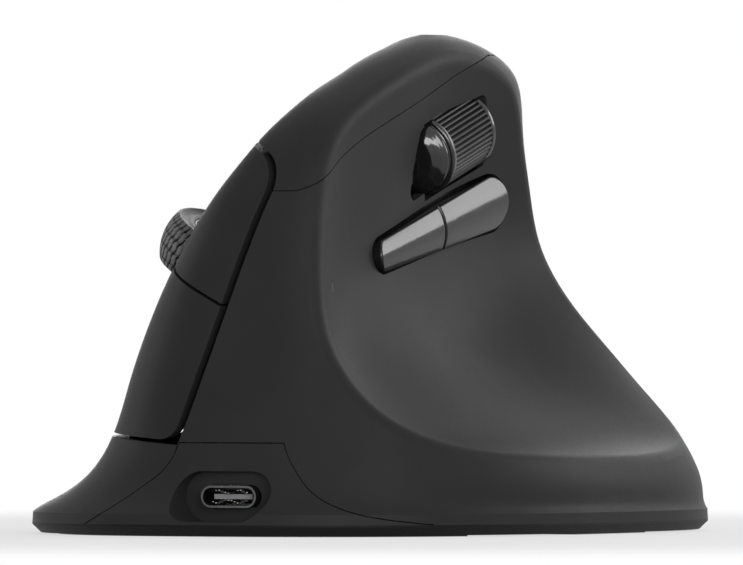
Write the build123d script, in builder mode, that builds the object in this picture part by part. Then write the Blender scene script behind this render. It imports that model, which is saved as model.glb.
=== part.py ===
"""Right-handed vertical mouse, in millimetres.

The origin is on the desk under the middle of the base, +Z is up, the USB end faces -Y,
the thumb side faces +X and the two finger buttons face -X.
"""

from build123d import *
from math import copysign, cos, hypot, radians, sin, sqrt, tan
import os

os.makedirs("parts", exist_ok=True)

# Overall sizes
mouse_width = 86.0
mouse_length = 116.0
mouse_height = 72.5
base_thickness = 1.5
base_chamfer = 1.2
foot_proud = 0.2
skirt_height = 1.5
wall = 1.7
seam_gap = 0.15
ridge_radius = 2.4
overrun = 200.0

half_width = mouse_width / 2
half_length = mouse_length / 2
shell_bottom = foot_proud + base_thickness
skirt_top = shell_bottom + skirt_height
rise = mouse_height - skirt_top

# The finger side leans back, and its frame stands on the scroll wheel's middle
grip_tilt = 64.0
wheel_x = -6.3
wheel_y = -27.0
wheel_z = 38.7
tilt_cos = cos(radians(grip_tilt))
tilt_sin = sin(radians(grip_tilt))

# Scroll wheel
wheel_radius = 13.0
wheel_width = 7.2
tread_crown = 0.9
rim_radius = 9.3
rim_width = 6.2
rim_band = 1.5
hub_radius = 2.6
spoke_count = 6
spoke_width = 1.7
spoke_depth = 3.0
wheel_axle_radius = 1.25
shaft_clearance = 0.05
wheel_side_gap = 0.8
wheel_end_gap = 0.8
wheel_slot_corner = 1.4
slot_flare = 3.5
wheel_switch_size = 3.0
wheel_switch_height = 0.7
wheel_switch_stem = 0.25

# Finger buttons
button_rear = 8.0
side_gap = 1.15
edge_gap = 0.7
split_gap = 0.45
split_up = -1.9
field_up = 19.7
field_foot_x = -4.4
field_foot_z = 13.0
field_lean = 18.0
field_floor_slope = 4.0
field_corner = 5.0
button_corner = 3.0
button_travel = 0.9

# Button hinge
pivot_y = 10.0
pivot_out = 2.0
pin_radius = 0.8
knuckle_radius = 2.0
knuckle_gap = 0.35
ear_low = -19.0
ear_mid = -3.7
ear_high = 6.3
arm_reach = 9.0

# Board behind the finger buttons, and the frame that carries it
board_thickness = 1.2
board_out = -5.0
board_front = 16.4
board_rear = 22.0
board_up = 12.4
board_down = 19.6
board_notch = 6.5
board_notch_up = 2.2
frame_thickness = 2.0
frame_front = 14.0
frame_rear = 40.0
frame_down = 17.0
ear_thickness = 1.8
leg_inner_x = -6.0
leg_outer_x = -11.0
leg_width = 6.0

# Micro switches under the finger buttons
switch_length = 12.8
switch_width = 5.8
switch_height = 5.2
switch_forward = 2.9
left_switch_up = 9.5
right_switch_up = -14.1
plunger_width = 1.4
plunger_length = 2.9
plunger_rise = 0.8
plunger_depth = 2.0
plunger_forward = 3.2
plunger_clearance = 0.25
rib_radius = 1.5

# Cradle that carries the scroll wheel
cradle_low = -3.2
cradle_thickness = 1.6
cradle_wall = 1.2
cradle_corner = 1.5
cradle_block = 6.4
cradle_block_top = 2.2
cradle_gap = 0.5
cradle_pivot_back = 17.0
cradle_pivot_out = -2.2
cradle_pin_radius = 1.0
cradle_tail = 1.2
cradle_pin_reach = 2.0
encoder_size = 7.0
encoder_thickness = 2.4

# Small push switches
tact_size = 4.5
tact_height = 1.6
tact_stem_radius = 0.9
tact_stem_sunk = 0.35
tact_stem_spare = 0.1

# Thumb board and side buttons, on a line that climbs to the rear
side_slope = 12.8
side_y = -1.9
side_z = 44.3
side_front_reach = 18.2
side_rear_reach = 16.2
side_front_radius = 2.8
side_rear_radius = 4.4
side_split = -0.3
side_split_gap = 0.3
side_clearance = 0.45
side_face_x = 12.1
side_crown = 1.2
side_crown_front = 3.9
side_crown_rear = 9.0
side_edge_radius = 0.35
half_turn = 180
side_flange = 0.4
side_flange_drop = 0.45
side_flange_thickness = 0.8
side_flange_gap = 0.75
side_flange_room = 0.35
side_travel = 0.5
side_stem_radius = 1.5
forward_switch_at = -10.5
back_switch_at = 8.0
thumb_board_x = 6.2
thumb_board_thickness = 1.0
thumb_board_half = 17.5
thumb_board_up = 3.0
thumb_board_down = 10.4
thumb_post_at = 14.0
thumb_post_down = 8.4
thumb_post_radius = 1.8

# Thumb wheel
thumb_slope = 17.0
thumb_y = 1.7
thumb_z = 56.3
thumb_centre_x = 8.9
thumb_radius = 6.0
thumb_well_gap = 0.3
thumb_front = 7.3
thumb_rear = 8.9
thumb_ribs = 48
rib_groove = 0.27
thumb_axle_radius = 0.8
thumb_ring_thickness = 0.9
thumb_ring_proud = 0.15
thumb_hub_length = 2.3
thumb_hub_nose = 4.2
thumb_hub_edge = 5.6
slot_half_height = 5.0
slot_front_low = 13.2
slot_front_high = 8.6
slot_rear_gap = 1.3
slot_corner = 1.4
cheek_thickness = 1.2
cheek_gap = 0.7
cheek_up = 7.2
cheek_back = 7.3
cheek_roof = 1.5
cheek_step = 0.3
cheek_boss = 2.4
bar_height = 2.6
bar_depth = 1.6
bar_down = 6.4
thumb_encoder_thickness = 2.2
thumb_encoder_size = 4.4

# Indicator light pipe
indicator_y = -37.6
indicator_z = 35.7
indicator_width = 0.7
indicator_height = 1.6
indicator_inner_x = 9.6
indicator_flange = 0.6

# Charging port
port_x = 4.5
port_z = 5.7
recess_width = 15.3
recess_height = 7.3
recess_floor_y = -50.9
recess_wall = 1.1
recess_floor = 1.0
usb_width = 8.94
usb_height = 3.16
usb_length = 7.3
usb_skin = 0.3
usb_proud = 1.5
usb_clearance = 0.12
tongue_width = 6.2
tongue_thickness = 0.7
tongue_length = 4.4
tongue_back = 1.4

# Main board
main_left = -5.0
main_right = 25.0
main_front = -47.0
main_rear = 12.0
main_thickness = 1.2
main_corner = 3.0
usb_tab_width = 11.0
usb_tab_length = 2.4

# Base plate, screws and feet
foot_thickness = 0.5
foot_inset = 3.6
foot_band = 5.0
foot_clearance = 0.1
foot_end_cut = 34.0
foot_side_cut = 11.0
screw_radius = 1.0
screw_head_radius = 1.9
screw_head_height = 1.2
screw_head_sunk = 0.5
screw_length = 7.0
screw_bite = 0.1
boss_radius = 3.0
cup_radius = 3.2
cup_height = 1.4
board_screw_length = 3.0
board_head_radius = 1.6
board_head_height = 0.8
board_hole_spare = 0.2
board_screw_inset = 2.6
board_post_radius = 2.2

# Sensor, battery and small electronics
sensor_x = 8.0
sensor_y = -6.0
sensor_length = 10.0
sensor_width = 8.0
sensor_height = 2.0
lens_length = 13.0
lens_width = 11.0
lens_plate = 0.9
lens_radius = 1.7
lens_window = 3.5
lens_drop = 0.7
lens_gap = 0.2
chip_size = 6.0
chip_height = 0.9
radio_length = 10.0
radio_width = 8.0
radio_height = 1.8
battery_width = 30.0
battery_length = 30.0
battery_height = 5.5
battery_x = 5.0
battery_y = 32.0
fence_thickness = 1.2
fence_height = 3.0
fence_gap = 0.3
plug_width = 6.0
plug_length = 4.0
plug_height = 3.0

# Controls under the mouse
mode_x = 17.0
mode_y = -36.0
mode_length = 3.6
mode_width = 2.6
mode_travel = 2.0
mode_gap = 0.2
mode_sunk = 0.3
mode_body_length = 9.0
mode_body_width = 3.8
mode_stem = 1.2
mode_stem_rise = 0.9
mode_body_height = 0.95
pair_x = 4.5
pair_y = -28.0
pair_radius = 2.2
pair_gap = 0.15
pair_travel = 0.25
pair_body = 3.6
pair_body_height = 0.8
pair_rest_gap = 0.32
pair_flange = 0.55
pair_pocket = 0.5

# Flat cables
cable_thickness = 0.3
cable_width = 6.0

# Outline of the body at each height. Heights are shares of the rise above the skirt, x places
# are shares of half the width and y places shares of half the length. Each row gives the height,
# the left, right, front and back reach, the x of the front and back tips, the y of the left and
# right tips, and the powers of the four quarters, from front left, anticlockwise from above.
level_shares = [
    (0.000, -1.000, 1.000, -0.995, 0.995, 0.000, 0.000, 0.000, 0.000, 2.4, 2.4, 2.4, 2.4),
    (0.033, -0.856, 0.988, -0.953, 0.979, 0.000, 0.000, 0.000, 0.000, 2.7, 2.5, 2.4, 2.4),
    (0.084, -0.695, 0.977, -0.914, 0.955, 0.000, 0.000, 0.000, 0.000, 3.0, 2.7, 2.4, 2.4),
    (0.156, -0.602, 0.921, -0.883, 0.914, 0.023, -0.023, 0.000, 0.000, 3.2, 2.9, 2.4, 2.4),
    (0.271, -0.535, 0.788, -0.857, 0.845, 0.047, -0.047, 0.000, 0.000, 3.3, 3.1, 2.3, 2.4),
    (0.416, -0.444, 0.593, -0.831, 0.764, 0.070, -0.070, 0.000, -0.034, 3.3, 3.4, 2.1, 2.4),
    (0.560, -0.312, 0.474, -0.803, 0.679, 0.093, -0.070, 0.000, -0.052, 3.3, 3.8, 2.0, 2.4),
    (0.675, -0.179, 0.440, -0.762, 0.628, 0.116, -0.035, -0.017, -0.052, 3.2, 3.9, 2.0, 2.3),
    (0.776, -0.047, 0.423, -0.681, 0.586, 0.140, 0.000, -0.034, -0.052, 3.0, 3.6, 2.0, 2.2),
    (0.863, 0.035, 0.398, -0.526, 0.559, 0.163, 0.047, -0.034, -0.017, 2.6, 3.0, 2.0, 2.1),
    (0.928, 0.067, 0.358, -0.328, 0.497, 0.186, 0.093, 0.000, 0.000, 2.3, 2.4, 2.0, 2.0),
    (0.971, 0.086, 0.295, -0.147, 0.352, 0.191, 0.140, 0.034, 0.034, 2.1, 2.1, 2.0, 2.0),
    (0.991, 0.109, 0.242, -0.038, 0.224, 0.172, 0.172, 0.069, 0.069, 2.0, 2.0, 2.0, 2.0),
    (1.000, 0.144, 0.200, 0.026, 0.147, 0.172, 0.172, 0.086, 0.086, 2.0, 2.0, 2.0, 2.0),
]
base_shares = (-1.0, 1.0, -1.0, 1.0, 0.0, 0.0, 0.0, 0.0, 2.4, 2.4, 2.4, 2.4)
points_per_quarter = 5

# The hollow for the thumb, cut across the body. Each station's place is a share of half the
# length; its profile gives x as shares of half the width and z as shares of the rise.
scoop_shares = {
    -1.138: [(0.791, 1.250), (0.698, 0.848), (0.663, 0.675), (0.651, 0.502), (0.674, 0.358),
             (0.767, 0.250), (0.930, 0.165), (1.093, 0.115), (1.395, 0.091)],
    -0.879: [(0.605, 1.250), (0.523, 0.848), (0.479, 0.675), (0.470, 0.502), (0.498, 0.358),
             (0.605, 0.245), (0.800, 0.159), (1.000, 0.114), (1.395, 0.097)],
    -0.741: [(0.465, 1.250), (0.393, 0.848), (0.353, 0.675), (0.347, 0.502), (0.386, 0.358),
             (0.521, 0.237), (0.758, 0.150), (0.977, 0.113), (1.395, 0.097)],
    -0.586: [(0.409, 1.250), (0.340, 0.848), (0.300, 0.675), (0.295, 0.502), (0.358, 0.358),
             (0.512, 0.231), (0.753, 0.147), (0.977, 0.113), (1.395, 0.097)],
    -0.241: [(0.372, 1.250), (0.314, 0.848), (0.270, 0.675), (0.281, 0.502), (0.372, 0.358),
             (0.558, 0.228), (0.786, 0.147), (0.977, 0.113), (1.395, 0.097)],
    0.207: [(0.372, 1.250), (0.312, 0.848), (0.267, 0.675), (0.288, 0.502), (0.395, 0.358),
            (0.581, 0.235), (0.802, 0.147), (0.977, 0.113), (1.395, 0.097)],
    0.655: [(0.395, 1.250), (0.340, 0.848), (0.312, 0.675), (0.344, 0.502), (0.442, 0.358),
            (0.616, 0.235), (0.814, 0.147), (0.977, 0.113), (1.395, 0.097)],
    1.103: [(0.442, 1.250), (0.400, 0.848), (0.395, 0.675), (0.428, 0.502), (0.512, 0.358),
            (0.663, 0.235), (0.837, 0.147), (0.977, 0.113), (1.395, 0.097)],
}

# Seam of the thumb shell seen from the side: y as shares of half the length, z of the rise
thumb_seam_shares = [
    (-0.759, 0.667), (-0.603, 0.736), (-0.405, 0.799), (-0.097, 0.880), (0.259, 0.958),
    (0.380, 0.935), (0.483, 0.848), (0.552, 0.704), (0.621, 0.531), (0.707, 0.358),
    (0.828, 0.185), (0.914, 0.084), (0.966, -0.022),
]

# Seams of the port panel seen from the front: x as shares of half the width, z of the rise
port_left_shares = [(-0.093, 0.146), (-0.107, 0.121), (-0.140, 0.088), (-0.191, 0.062),
                    (-0.307, 0.010), (-0.660, -0.035)]
port_right_shares = [(0.293, 0.146), (0.312, 0.121), (0.349, 0.088), (0.384, 0.062),
                     (0.550, 0.004), (0.760, -0.022)]
port_depth_share = 0.43

# Screw places: two in the palm shell and two in the thumb shell, as shares of the half sizes
palm_screw_shares = [(-0.581, -0.517), (-0.372, 0.690)]
thumb_screw_shares = [(0.767, -0.276), (0.744, 0.414)]

# Places on the main board, as shares of its width and length
chip_share = (0.60, 0.39)
radio_share = (0.80, 0.66)
plug_share = (0.50, 0.955)

# Bends of the two flat cables, as shares of the way across and of the way up
button_cable_shares = [(0.30, 0.58), (0.62, 0.20)]
thumb_cable_shares = [(0.0, 0.90), (0.35, 0.45), (0.48, 0.08)]


def level_height(share):
    return skirt_top + share * rise


def quarter(centre, reach, power, start):
    """Points of one quarter of a superellipse, anticlockwise from the start angle."""
    points = []
    for step in range(points_per_quarter):
        angle = radians(start + 90 * step / points_per_quarter)
        across = copysign(abs(cos(angle)) ** (2 / power), cos(angle))
        along = copysign(abs(sin(angle)) ** (2 / power), sin(angle))
        points.append((centre[0] + reach[0] * across, centre[1] + reach[1] * along))
    return points


def body_outline(shares, inset):
    """Closed outline of the body at one height, drawn in by the inset."""
    left, right, front, back, front_x, back_x, left_y, right_y = shares[:8]
    front_left, front_right, back_right, back_left = shares[8:]
    left = left * half_width + inset
    right = right * half_width - inset
    front = front * half_length + inset
    back = back * half_length - inset
    front_x = front_x * half_width
    back_x = back_x * half_width
    left_y = left_y * half_length
    right_y = right_y * half_length
    points = quarter((back_x, right_y), (right - back_x, back - right_y), back_right, 0)
    points += quarter((back_x, left_y), (back_x - left, back - left_y), back_left, 90)
    points += quarter((front_x, left_y), (front_x - left, left_y - front), front_left, 180)
    points += quarter((front_x, right_y), (right - front_x, right_y - front), front_right, 270)
    return points


def body_form(inset, levels, ridge):
    """The whole body as one solid: a smooth loft on a short skirt, with the thumb hollow."""
    with BuildPart() as form:
        for level in levels:
            with BuildSketch(Plane.XY.offset(level_height(level[0]) - inset)):
                with BuildLine():
                    Spline(*body_outline(level[1:], inset), periodic=True)
                make_face()
        loft()
        with BuildSketch(Plane.XY.offset(shell_bottom - inset)):
            with BuildLine():
                Spline(*body_outline(base_shares, inset), periodic=True)
            make_face()
        with BuildSketch(Plane.XY.offset(skirt_top - inset)):
            with BuildLine():
                Spline(*body_outline(levels[0][1:], inset), periodic=True)
            make_face()
        loft(ruled=True)
        for station, profile in scoop_shares.items():
            points = [
                (x * half_width - inset, level_height(z) - inset) for x, z in profile
            ]
            with BuildSketch(Plane.XZ.offset(-station * half_length)):
                with BuildLine():
                    Spline(*points)
                    Polyline(
                        points[-1], (overrun, points[-1][1]), (overrun, points[0][1]), points[0]
                    )
                make_face()
        loft(mode=Mode.SUBTRACT)
        if ridge:
            hollow = form.faces().filter_by(GeomType.BSPLINE).sort_by(Axis.X)[-1]
            fillet(hollow.edges(), radius=ridge)
    return form.part


def grip_point(up, out):
    """The x and z of a point in the finger frame: up along its slope, and out from it."""
    x = wheel_x + up * tilt_cos - out * tilt_sin
    z = wheel_z + up * tilt_sin + out * tilt_cos
    return (x, z)


grip_plane = Plane(
    origin=(wheel_x, wheel_y, wheel_z), x_dir=(0, -1, 0), z_dir=(-tilt_sin, 0, tilt_cos)
)
axle_plane = Plane(
    origin=(wheel_x, wheel_y, wheel_z), x_dir=(0, -1, 0), z_dir=(tilt_cos, 0, tilt_sin)
)
wheel_section = Plane(
    origin=(wheel_x, wheel_y, wheel_z), x_dir=(-tilt_sin, 0, tilt_cos), z_dir=(0, 1, 0)
)
wheel_line = Axis((wheel_x, wheel_y, wheel_z), (tilt_cos, 0, tilt_sin))


def moved_left(points, amount):
    """Points of an open line, each moved square to the line, to its left, by the amount."""
    moved = []
    for index, point in enumerate(points):
        before = points[max(index - 1, 0)]
        after = points[min(index + 1, len(points) - 1)]
        run_x = after[0] - before[0]
        run_y = after[1] - before[1]
        share = amount / hypot(run_x, run_y)
        moved.append((point[0] - share * run_y, point[1] + share * run_x))
    return moved


def thumb_zone(grow):
    """The space of the thumb shell: under its seam from the side, right of the finger field."""
    seam = [(y * half_length, level_height(z)) for y, z in thumb_seam_shares]
    seam = moved_left(seam, grow)
    edge_top = field_top(grow)
    foot_x = field_foot_x - grow / cos(radians(field_lean))
    with BuildPart() as zone:
        with BuildSketch(Plane.YZ.offset(-overrun)):
            with BuildLine():
                Polyline(
                    (seam[-1][0], -overrun), (-overrun, -overrun), (-overrun, seam[0][1]), seam[0]
                )
                Spline(*seam)
                Line(seam[-1], (seam[-1][0], -overrun))
            make_face()
        extrude(amount=2 * overrun)
        with BuildSketch(Plane.XZ):
            with BuildLine():
                Polyline(
                    (foot_x, -overrun),
                    (foot_x, field_foot_z),
                    edge_top,
                    (edge_top[0], overrun),
                    (overrun, overrun),
                    (overrun, -overrun),
                    close=True,
                )
            make_face()
        extrude(amount=overrun, both=True, mode=Mode.INTERSECT)
    return zone.part


def port_zone(grow):
    """The space of the port panel, seen from the front."""
    left = [(x * half_width, level_height(z)) for x, z in port_left_shares]
    right = [(x * half_width, level_height(z)) for x, z in port_right_shares]
    left = moved_left(left, -grow)
    right = moved_left(right, grow)
    top = level_height(port_left_shares[0][1]) + grow
    left[0] = (left[0][0], top)
    right[0] = (right[0][0], top)
    with BuildPart() as zone:
        with BuildSketch(Plane.XZ.offset(port_depth_share * half_length)):
            with BuildLine():
                Spline(*left)
                Spline(*right)
                Line(left[0], right[0])
                Polyline(
                    left[-1],
                    (left[-1][0], left[-1][1] - overrun),
                    (right[-1][0], left[-1][1] - overrun),
                    right[-1],
                )
            make_face()
        extrude(amount=overrun)
    return zone.part


def field_top(side_inset=0.0, edge_inset=0.0):
    """Where the front edge of the finger field meets its upper edge, as x and z."""
    lean = tan(radians(field_lean))
    foot = field_foot_x - side_inset / cos(radians(field_lean))
    reach = tilt_cos * wheel_x + tilt_sin * wheel_z + field_up - edge_inset
    z = (reach - tilt_cos * (foot - field_foot_z * lean)) / (tilt_sin + tilt_cos * lean)
    return (foot + (z - field_foot_z) * lean, z)


def finger_field(side_inset, edge_inset, low_corner):
    """The space of the two finger buttons, seen from the front."""
    lean = tan(radians(field_lean))
    foot = field_foot_x - side_inset / cos(radians(field_lean))
    foot_z = field_foot_z + edge_inset
    foot_corner = (foot + edge_inset * lean, foot_z)
    top_corner = field_top(side_inset, edge_inset)
    top_run = overrun / tilt_sin
    upper_left = (top_corner[0] - top_run * tilt_sin, top_corner[1] + top_run * tilt_cos)
    lower_left = (upper_left[0], foot_z + overrun * tan(radians(field_floor_slope)))
    with BuildPart() as field:
        with BuildSketch(Plane.XZ.offset(-button_rear + edge_inset)) as face:
            with BuildLine():
                Polyline(foot_corner, top_corner, upper_left, lower_left, close=True)
            make_face()
            top_vertex = face.vertices().sort_by_distance((*top_corner, 0))[:1]
            fillet(top_vertex, radius=field_corner)
            if low_corner:
                foot_vertex = face.vertices().sort_by_distance((*foot_corner, 0))[:1]
                fillet(foot_vertex, radius=low_corner)
        extrude(amount=overrun)
    return field.part


def slope_band(low, high):
    """The space between two heights along the finger side's slope."""
    with BuildPart() as band:
        with BuildSketch(Plane.XZ.offset(-overrun)):
            with BuildLine():
                Polyline(
                    grip_point(low, -overrun),
                    grip_point(low, overrun),
                    grip_point(high, overrun),
                    grip_point(high, -overrun),
                    close=True,
                )
            make_face()
        extrude(amount=2 * overrun)
    return band.part


# Planes of the side buttons and the thumb wheel, which look out along +X
side_plane = Plane(
    origin=(0, side_y, side_z),
    x_dir=(0, cos(radians(side_slope)), sin(radians(side_slope))),
    z_dir=(1, 0, 0),
)
thumb_direction = (0, cos(radians(thumb_slope)), sin(radians(thumb_slope)))
thumb_plane = Plane(origin=(0, thumb_y, thumb_z), x_dir=thumb_direction, z_dir=(1, 0, 0))


def side_hull(grow, drop, plane):
    """Tapered capsule outline of the side buttons, grown on all sides and lowered."""
    with BuildSketch(plane) as outline:
        with Locations((-side_front_reach, -drop)):
            Circle(side_front_radius + grow)
        with Locations((side_rear_reach, -drop)):
            Circle(side_rear_radius + grow)
        make_hull()
    return outline.sketch


def thumb_section(along):
    """Plane across the thumb wheel's axis, with x pointing out of the shell."""
    start = (
        thumb_centre_x,
        thumb_y + along * thumb_direction[1],
        thumb_z + along * thumb_direction[2],
    )
    return Plane(origin=start, x_dir=(1, 0, 0), z_dir=thumb_direction)


outer_form = body_form(0, level_shares, ridge_radius)
inner_form = body_form(wall, level_shares[:-1], 0)
inside_wall = body_form(wall / 2, level_shares[:-1], 0)

with BuildPart() as skin:
    add(outer_form)
    add(inner_form, mode=Mode.SUBTRACT)
skin = skin.part
field_space = finger_field(0, 0, 0)

palm_screws = [(x * half_width, y * half_length) for x, y in palm_screw_shares]
thumb_screws = [(x * half_width, y * half_length) for x, y in thumb_screw_shares]
cup_top = shell_bottom + cup_height


def screw_bosses(places):
    """Posts that stand on the base plate's cups and run up into the shell's wall."""
    with BuildPart() as bosses:
        with BuildSketch(Plane.XY.offset(cup_top)):
            with Locations(*places):
                Circle(boss_radius)
        extrude(amount=overrun)
        add(inside_wall, mode=Mode.INTERSECT)
        with BuildSketch(Plane.XY.offset(cup_top)):
            with Locations(*places):
                Circle(screw_radius - screw_bite)
        extrude(amount=screw_length, mode=Mode.SUBTRACT)
    return bosses.part


# Room round the thumb wheel, cut out of both shells
with BuildPart() as thumb_well:
    with BuildSketch(thumb_section(-thumb_front - thumb_well_gap)):
        Circle(thumb_radius + thumb_ring_proud + thumb_well_gap)
    extrude(amount=thumb_front + thumb_rear + 2 * thumb_well_gap)

# Palm shell: the crown, the back and the flare under the fingers
palm_bosses = screw_bosses(palm_screws)
with BuildPart() as palm_shell:
    add(skin)
    add(thumb_zone(seam_gap), mode=Mode.SUBTRACT)
    add(port_zone(seam_gap), mode=Mode.SUBTRACT)
    add(palm_bosses)
    add(field_space, mode=Mode.SUBTRACT)
    add(thumb_well.part, mode=Mode.SUBTRACT)
palm_shell.part.label = "palm_shell"
export_step(palm_shell.part, "parts/palm_shell.step")

# Thumb shell: the hollow for the thumb and the strip beside the finger buttons
thumb_bosses = screw_bosses(thumb_screws)
flange_x = side_face_x - wall - side_flange_gap
flange_pocket = side_hull(
    side_flange + side_flange_room, side_flange_drop, side_plane.offset(thumb_board_x)
)
thumb_posts = [(-thumb_post_at, -thumb_post_down), (thumb_post_at, -thumb_post_down)]
with BuildPart() as thumb_shell:
    add(skin)
    add(thumb_zone(0), mode=Mode.INTERSECT)
    add(port_zone(seam_gap), mode=Mode.SUBTRACT)
    add(field_space, mode=Mode.SUBTRACT)
    add(thumb_well.part, mode=Mode.SUBTRACT)
    extrude(side_hull(0, 0, side_plane.offset(thumb_board_x)), amount=overrun, mode=Mode.SUBTRACT)
    extrude(
        flange_pocket, amount=flange_x + side_flange_room - thumb_board_x, mode=Mode.SUBTRACT
    )
    with BuildSketch(thumb_plane.offset(thumb_board_x)) as wheel_slot:
        with BuildLine():
            Polyline(
                (-slot_front_low, -slot_half_height),
                (thumb_rear + slot_rear_gap, -slot_half_height),
                (thumb_rear + slot_rear_gap, slot_half_height),
                (-slot_front_high, slot_half_height),
                close=True,
            )
        make_face()
        fillet(wheel_slot.vertices(), radius=slot_corner)
    extrude(amount=overrun, mode=Mode.SUBTRACT)
    with BuildSketch(Plane.YZ):
        with Locations((indicator_y, indicator_z)):
            SlotOverall(indicator_height, indicator_width, rotation=90)
    extrude(amount=overrun, mode=Mode.SUBTRACT)
    add(thumb_bosses)
with BuildPart() as thumb_board_posts:
    with BuildSketch(side_plane.offset(thumb_board_x)):
        with Locations(*thumb_posts):
            Circle(thumb_post_radius)
    extrude(amount=overrun)
    add(inside_wall, mode=Mode.INTERSECT)
    with BuildSketch(side_plane.offset(thumb_board_x)):
        with Locations(*thumb_posts):
            Circle(screw_radius - screw_bite)
    extrude(amount=board_screw_length, mode=Mode.SUBTRACT)
with BuildPart() as thumb_shell_whole:
    add(thumb_shell.part)
    add(thumb_board_posts.part)
thumb_shell_whole.part.label = "thumb_shell"
export_step(thumb_shell_whole.part, "parts/thumb_shell.step")

# Port panel: the front cover with the stadium recess of the charging port
port_front_plane = Plane.XZ.offset(-recess_floor_y)
with BuildPart() as port_tube:
    with BuildSketch(port_front_plane.offset(-recess_floor)):
        with Locations((port_x, port_z)):
            SlotOverall(recess_width + 2 * recess_wall, recess_height + 2 * recess_wall)
    extrude(amount=overrun)
    add(outer_form, mode=Mode.INTERSECT)
with BuildPart() as port_panel:
    add(skin)
    add(port_zone(0), mode=Mode.INTERSECT)
    add(port_tube.part)
    with BuildSketch(port_front_plane):
        with Locations((port_x, port_z)):
            SlotOverall(recess_width, recess_height)
    extrude(amount=overrun, mode=Mode.SUBTRACT)
    with BuildSketch(port_front_plane):
        with Locations((port_x, port_z)):
            SlotOverall(usb_width + 2 * usb_clearance, usb_height + 2 * usb_clearance)
    extrude(amount=recess_floor, both=True, mode=Mode.SUBTRACT)
port_panel.part.label = "port_panel"
export_step(port_panel.part, "parts/port_panel.step")

# Finger buttons: two shell plates that rock on one pin at their rear edge
pivot_forward = wheel_y - pivot_y
rear_forward = wheel_y - (button_rear - edge_gap)
plunger_top = board_out + switch_height + plunger_rise
slot_half_length = wheel_radius + wheel_end_gap
with BuildPart() as button_skin:
    add(skin)
    add(finger_field(side_gap, edge_gap, button_corner), mode=Mode.INTERSECT)
    with BuildSketch(grip_plane):
        RectangleRounded(2 * slot_half_length, wheel_width + 2 * wheel_side_gap, wheel_slot_corner)
    extrude(amount=overrun, mode=Mode.SUBTRACT)
button_skin = button_skin.part


def finger_button(low, high, knuckle_low, knuckle_high, switch_up, slot_flare):
    """One button plate with its hinge knuckle, arm and the rib that meets the switch.

    The flare rounds the plate's corners where the wheel slot runs out at its lower edge.
    """
    arm_plane = axle_plane.offset(knuckle_low)
    arm_width = knuckle_high - knuckle_low
    with BuildPart() as arm:
        with BuildSketch(arm_plane):
            with BuildLine():
                Polyline(
                    (pivot_forward, -pivot_out + knuckle_radius),
                    (pivot_forward, -pivot_out - knuckle_radius),
                    (rear_forward, -pivot_out - knuckle_radius),
                    (rear_forward, -arm_reach),
                    (rear_forward + arm_reach, -arm_reach),
                    (rear_forward + knuckle_radius, -pivot_out + knuckle_radius),
                    close=True,
                )
            make_face()
            with Locations((pivot_forward, -pivot_out)):
                Circle(knuckle_radius)
        extrude(amount=arm_width)
        with BuildSketch(grip_plane.offset(plunger_top)):
            with Locations((switch_forward + plunger_forward, switch_up)):
                Circle(rib_radius)
        extrude(amount=overrun)
        add(inside_wall, mode=Mode.INTERSECT)
        with BuildSketch(arm_plane):
            with Locations((pivot_forward, -pivot_out)):
                Circle(pin_radius + shaft_clearance)
        extrude(amount=arm_width, mode=Mode.SUBTRACT)
    with BuildPart() as button:
        add(button_skin)
        add(slope_band(low, high), mode=Mode.INTERSECT)
        for end in (-slot_half_length, slot_half_length):
            if slot_flare:
                away = copysign(slot_flare, end)
                with BuildSketch(grip_plane):
                    with Locations((end + away / 2, low + slot_flare / 2)):
                        Rectangle(slot_flare, slot_flare)
                    with Locations((end + away, low + slot_flare)):
                        Circle(slot_flare, mode=Mode.SUBTRACT)
                extrude(amount=overrun, mode=Mode.SUBTRACT)
        add(arm.part)
    return button


left_button = finger_button(
    split_up + split_gap / 2, overrun / 2,
    ear_mid + ear_thickness + knuckle_gap, ear_high - knuckle_gap, left_switch_up, slot_flare,
)
left_button.part.label = "left_button"
export_step(left_button.part, "parts/left_button.step")
right_button = finger_button(
    -overrun / 2, split_up - split_gap / 2,
    ear_low + ear_thickness + knuckle_gap, ear_mid - knuckle_gap, right_switch_up, 0,
)
right_button.part.label = "right_button"
export_step(right_button.part, "parts/right_button.step")

with BuildPart() as button_pivot_pin:
    with BuildSketch(axle_plane.offset(ear_low)):
        with Locations((pivot_forward, -pivot_out)):
            Circle(pin_radius)
    extrude(amount=ear_high + ear_thickness - ear_low)
button_pivot_pin.part.label = "button_pivot_pin"
export_step(button_pivot_pin.part, "parts/button_pivot_pin.step")

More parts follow.
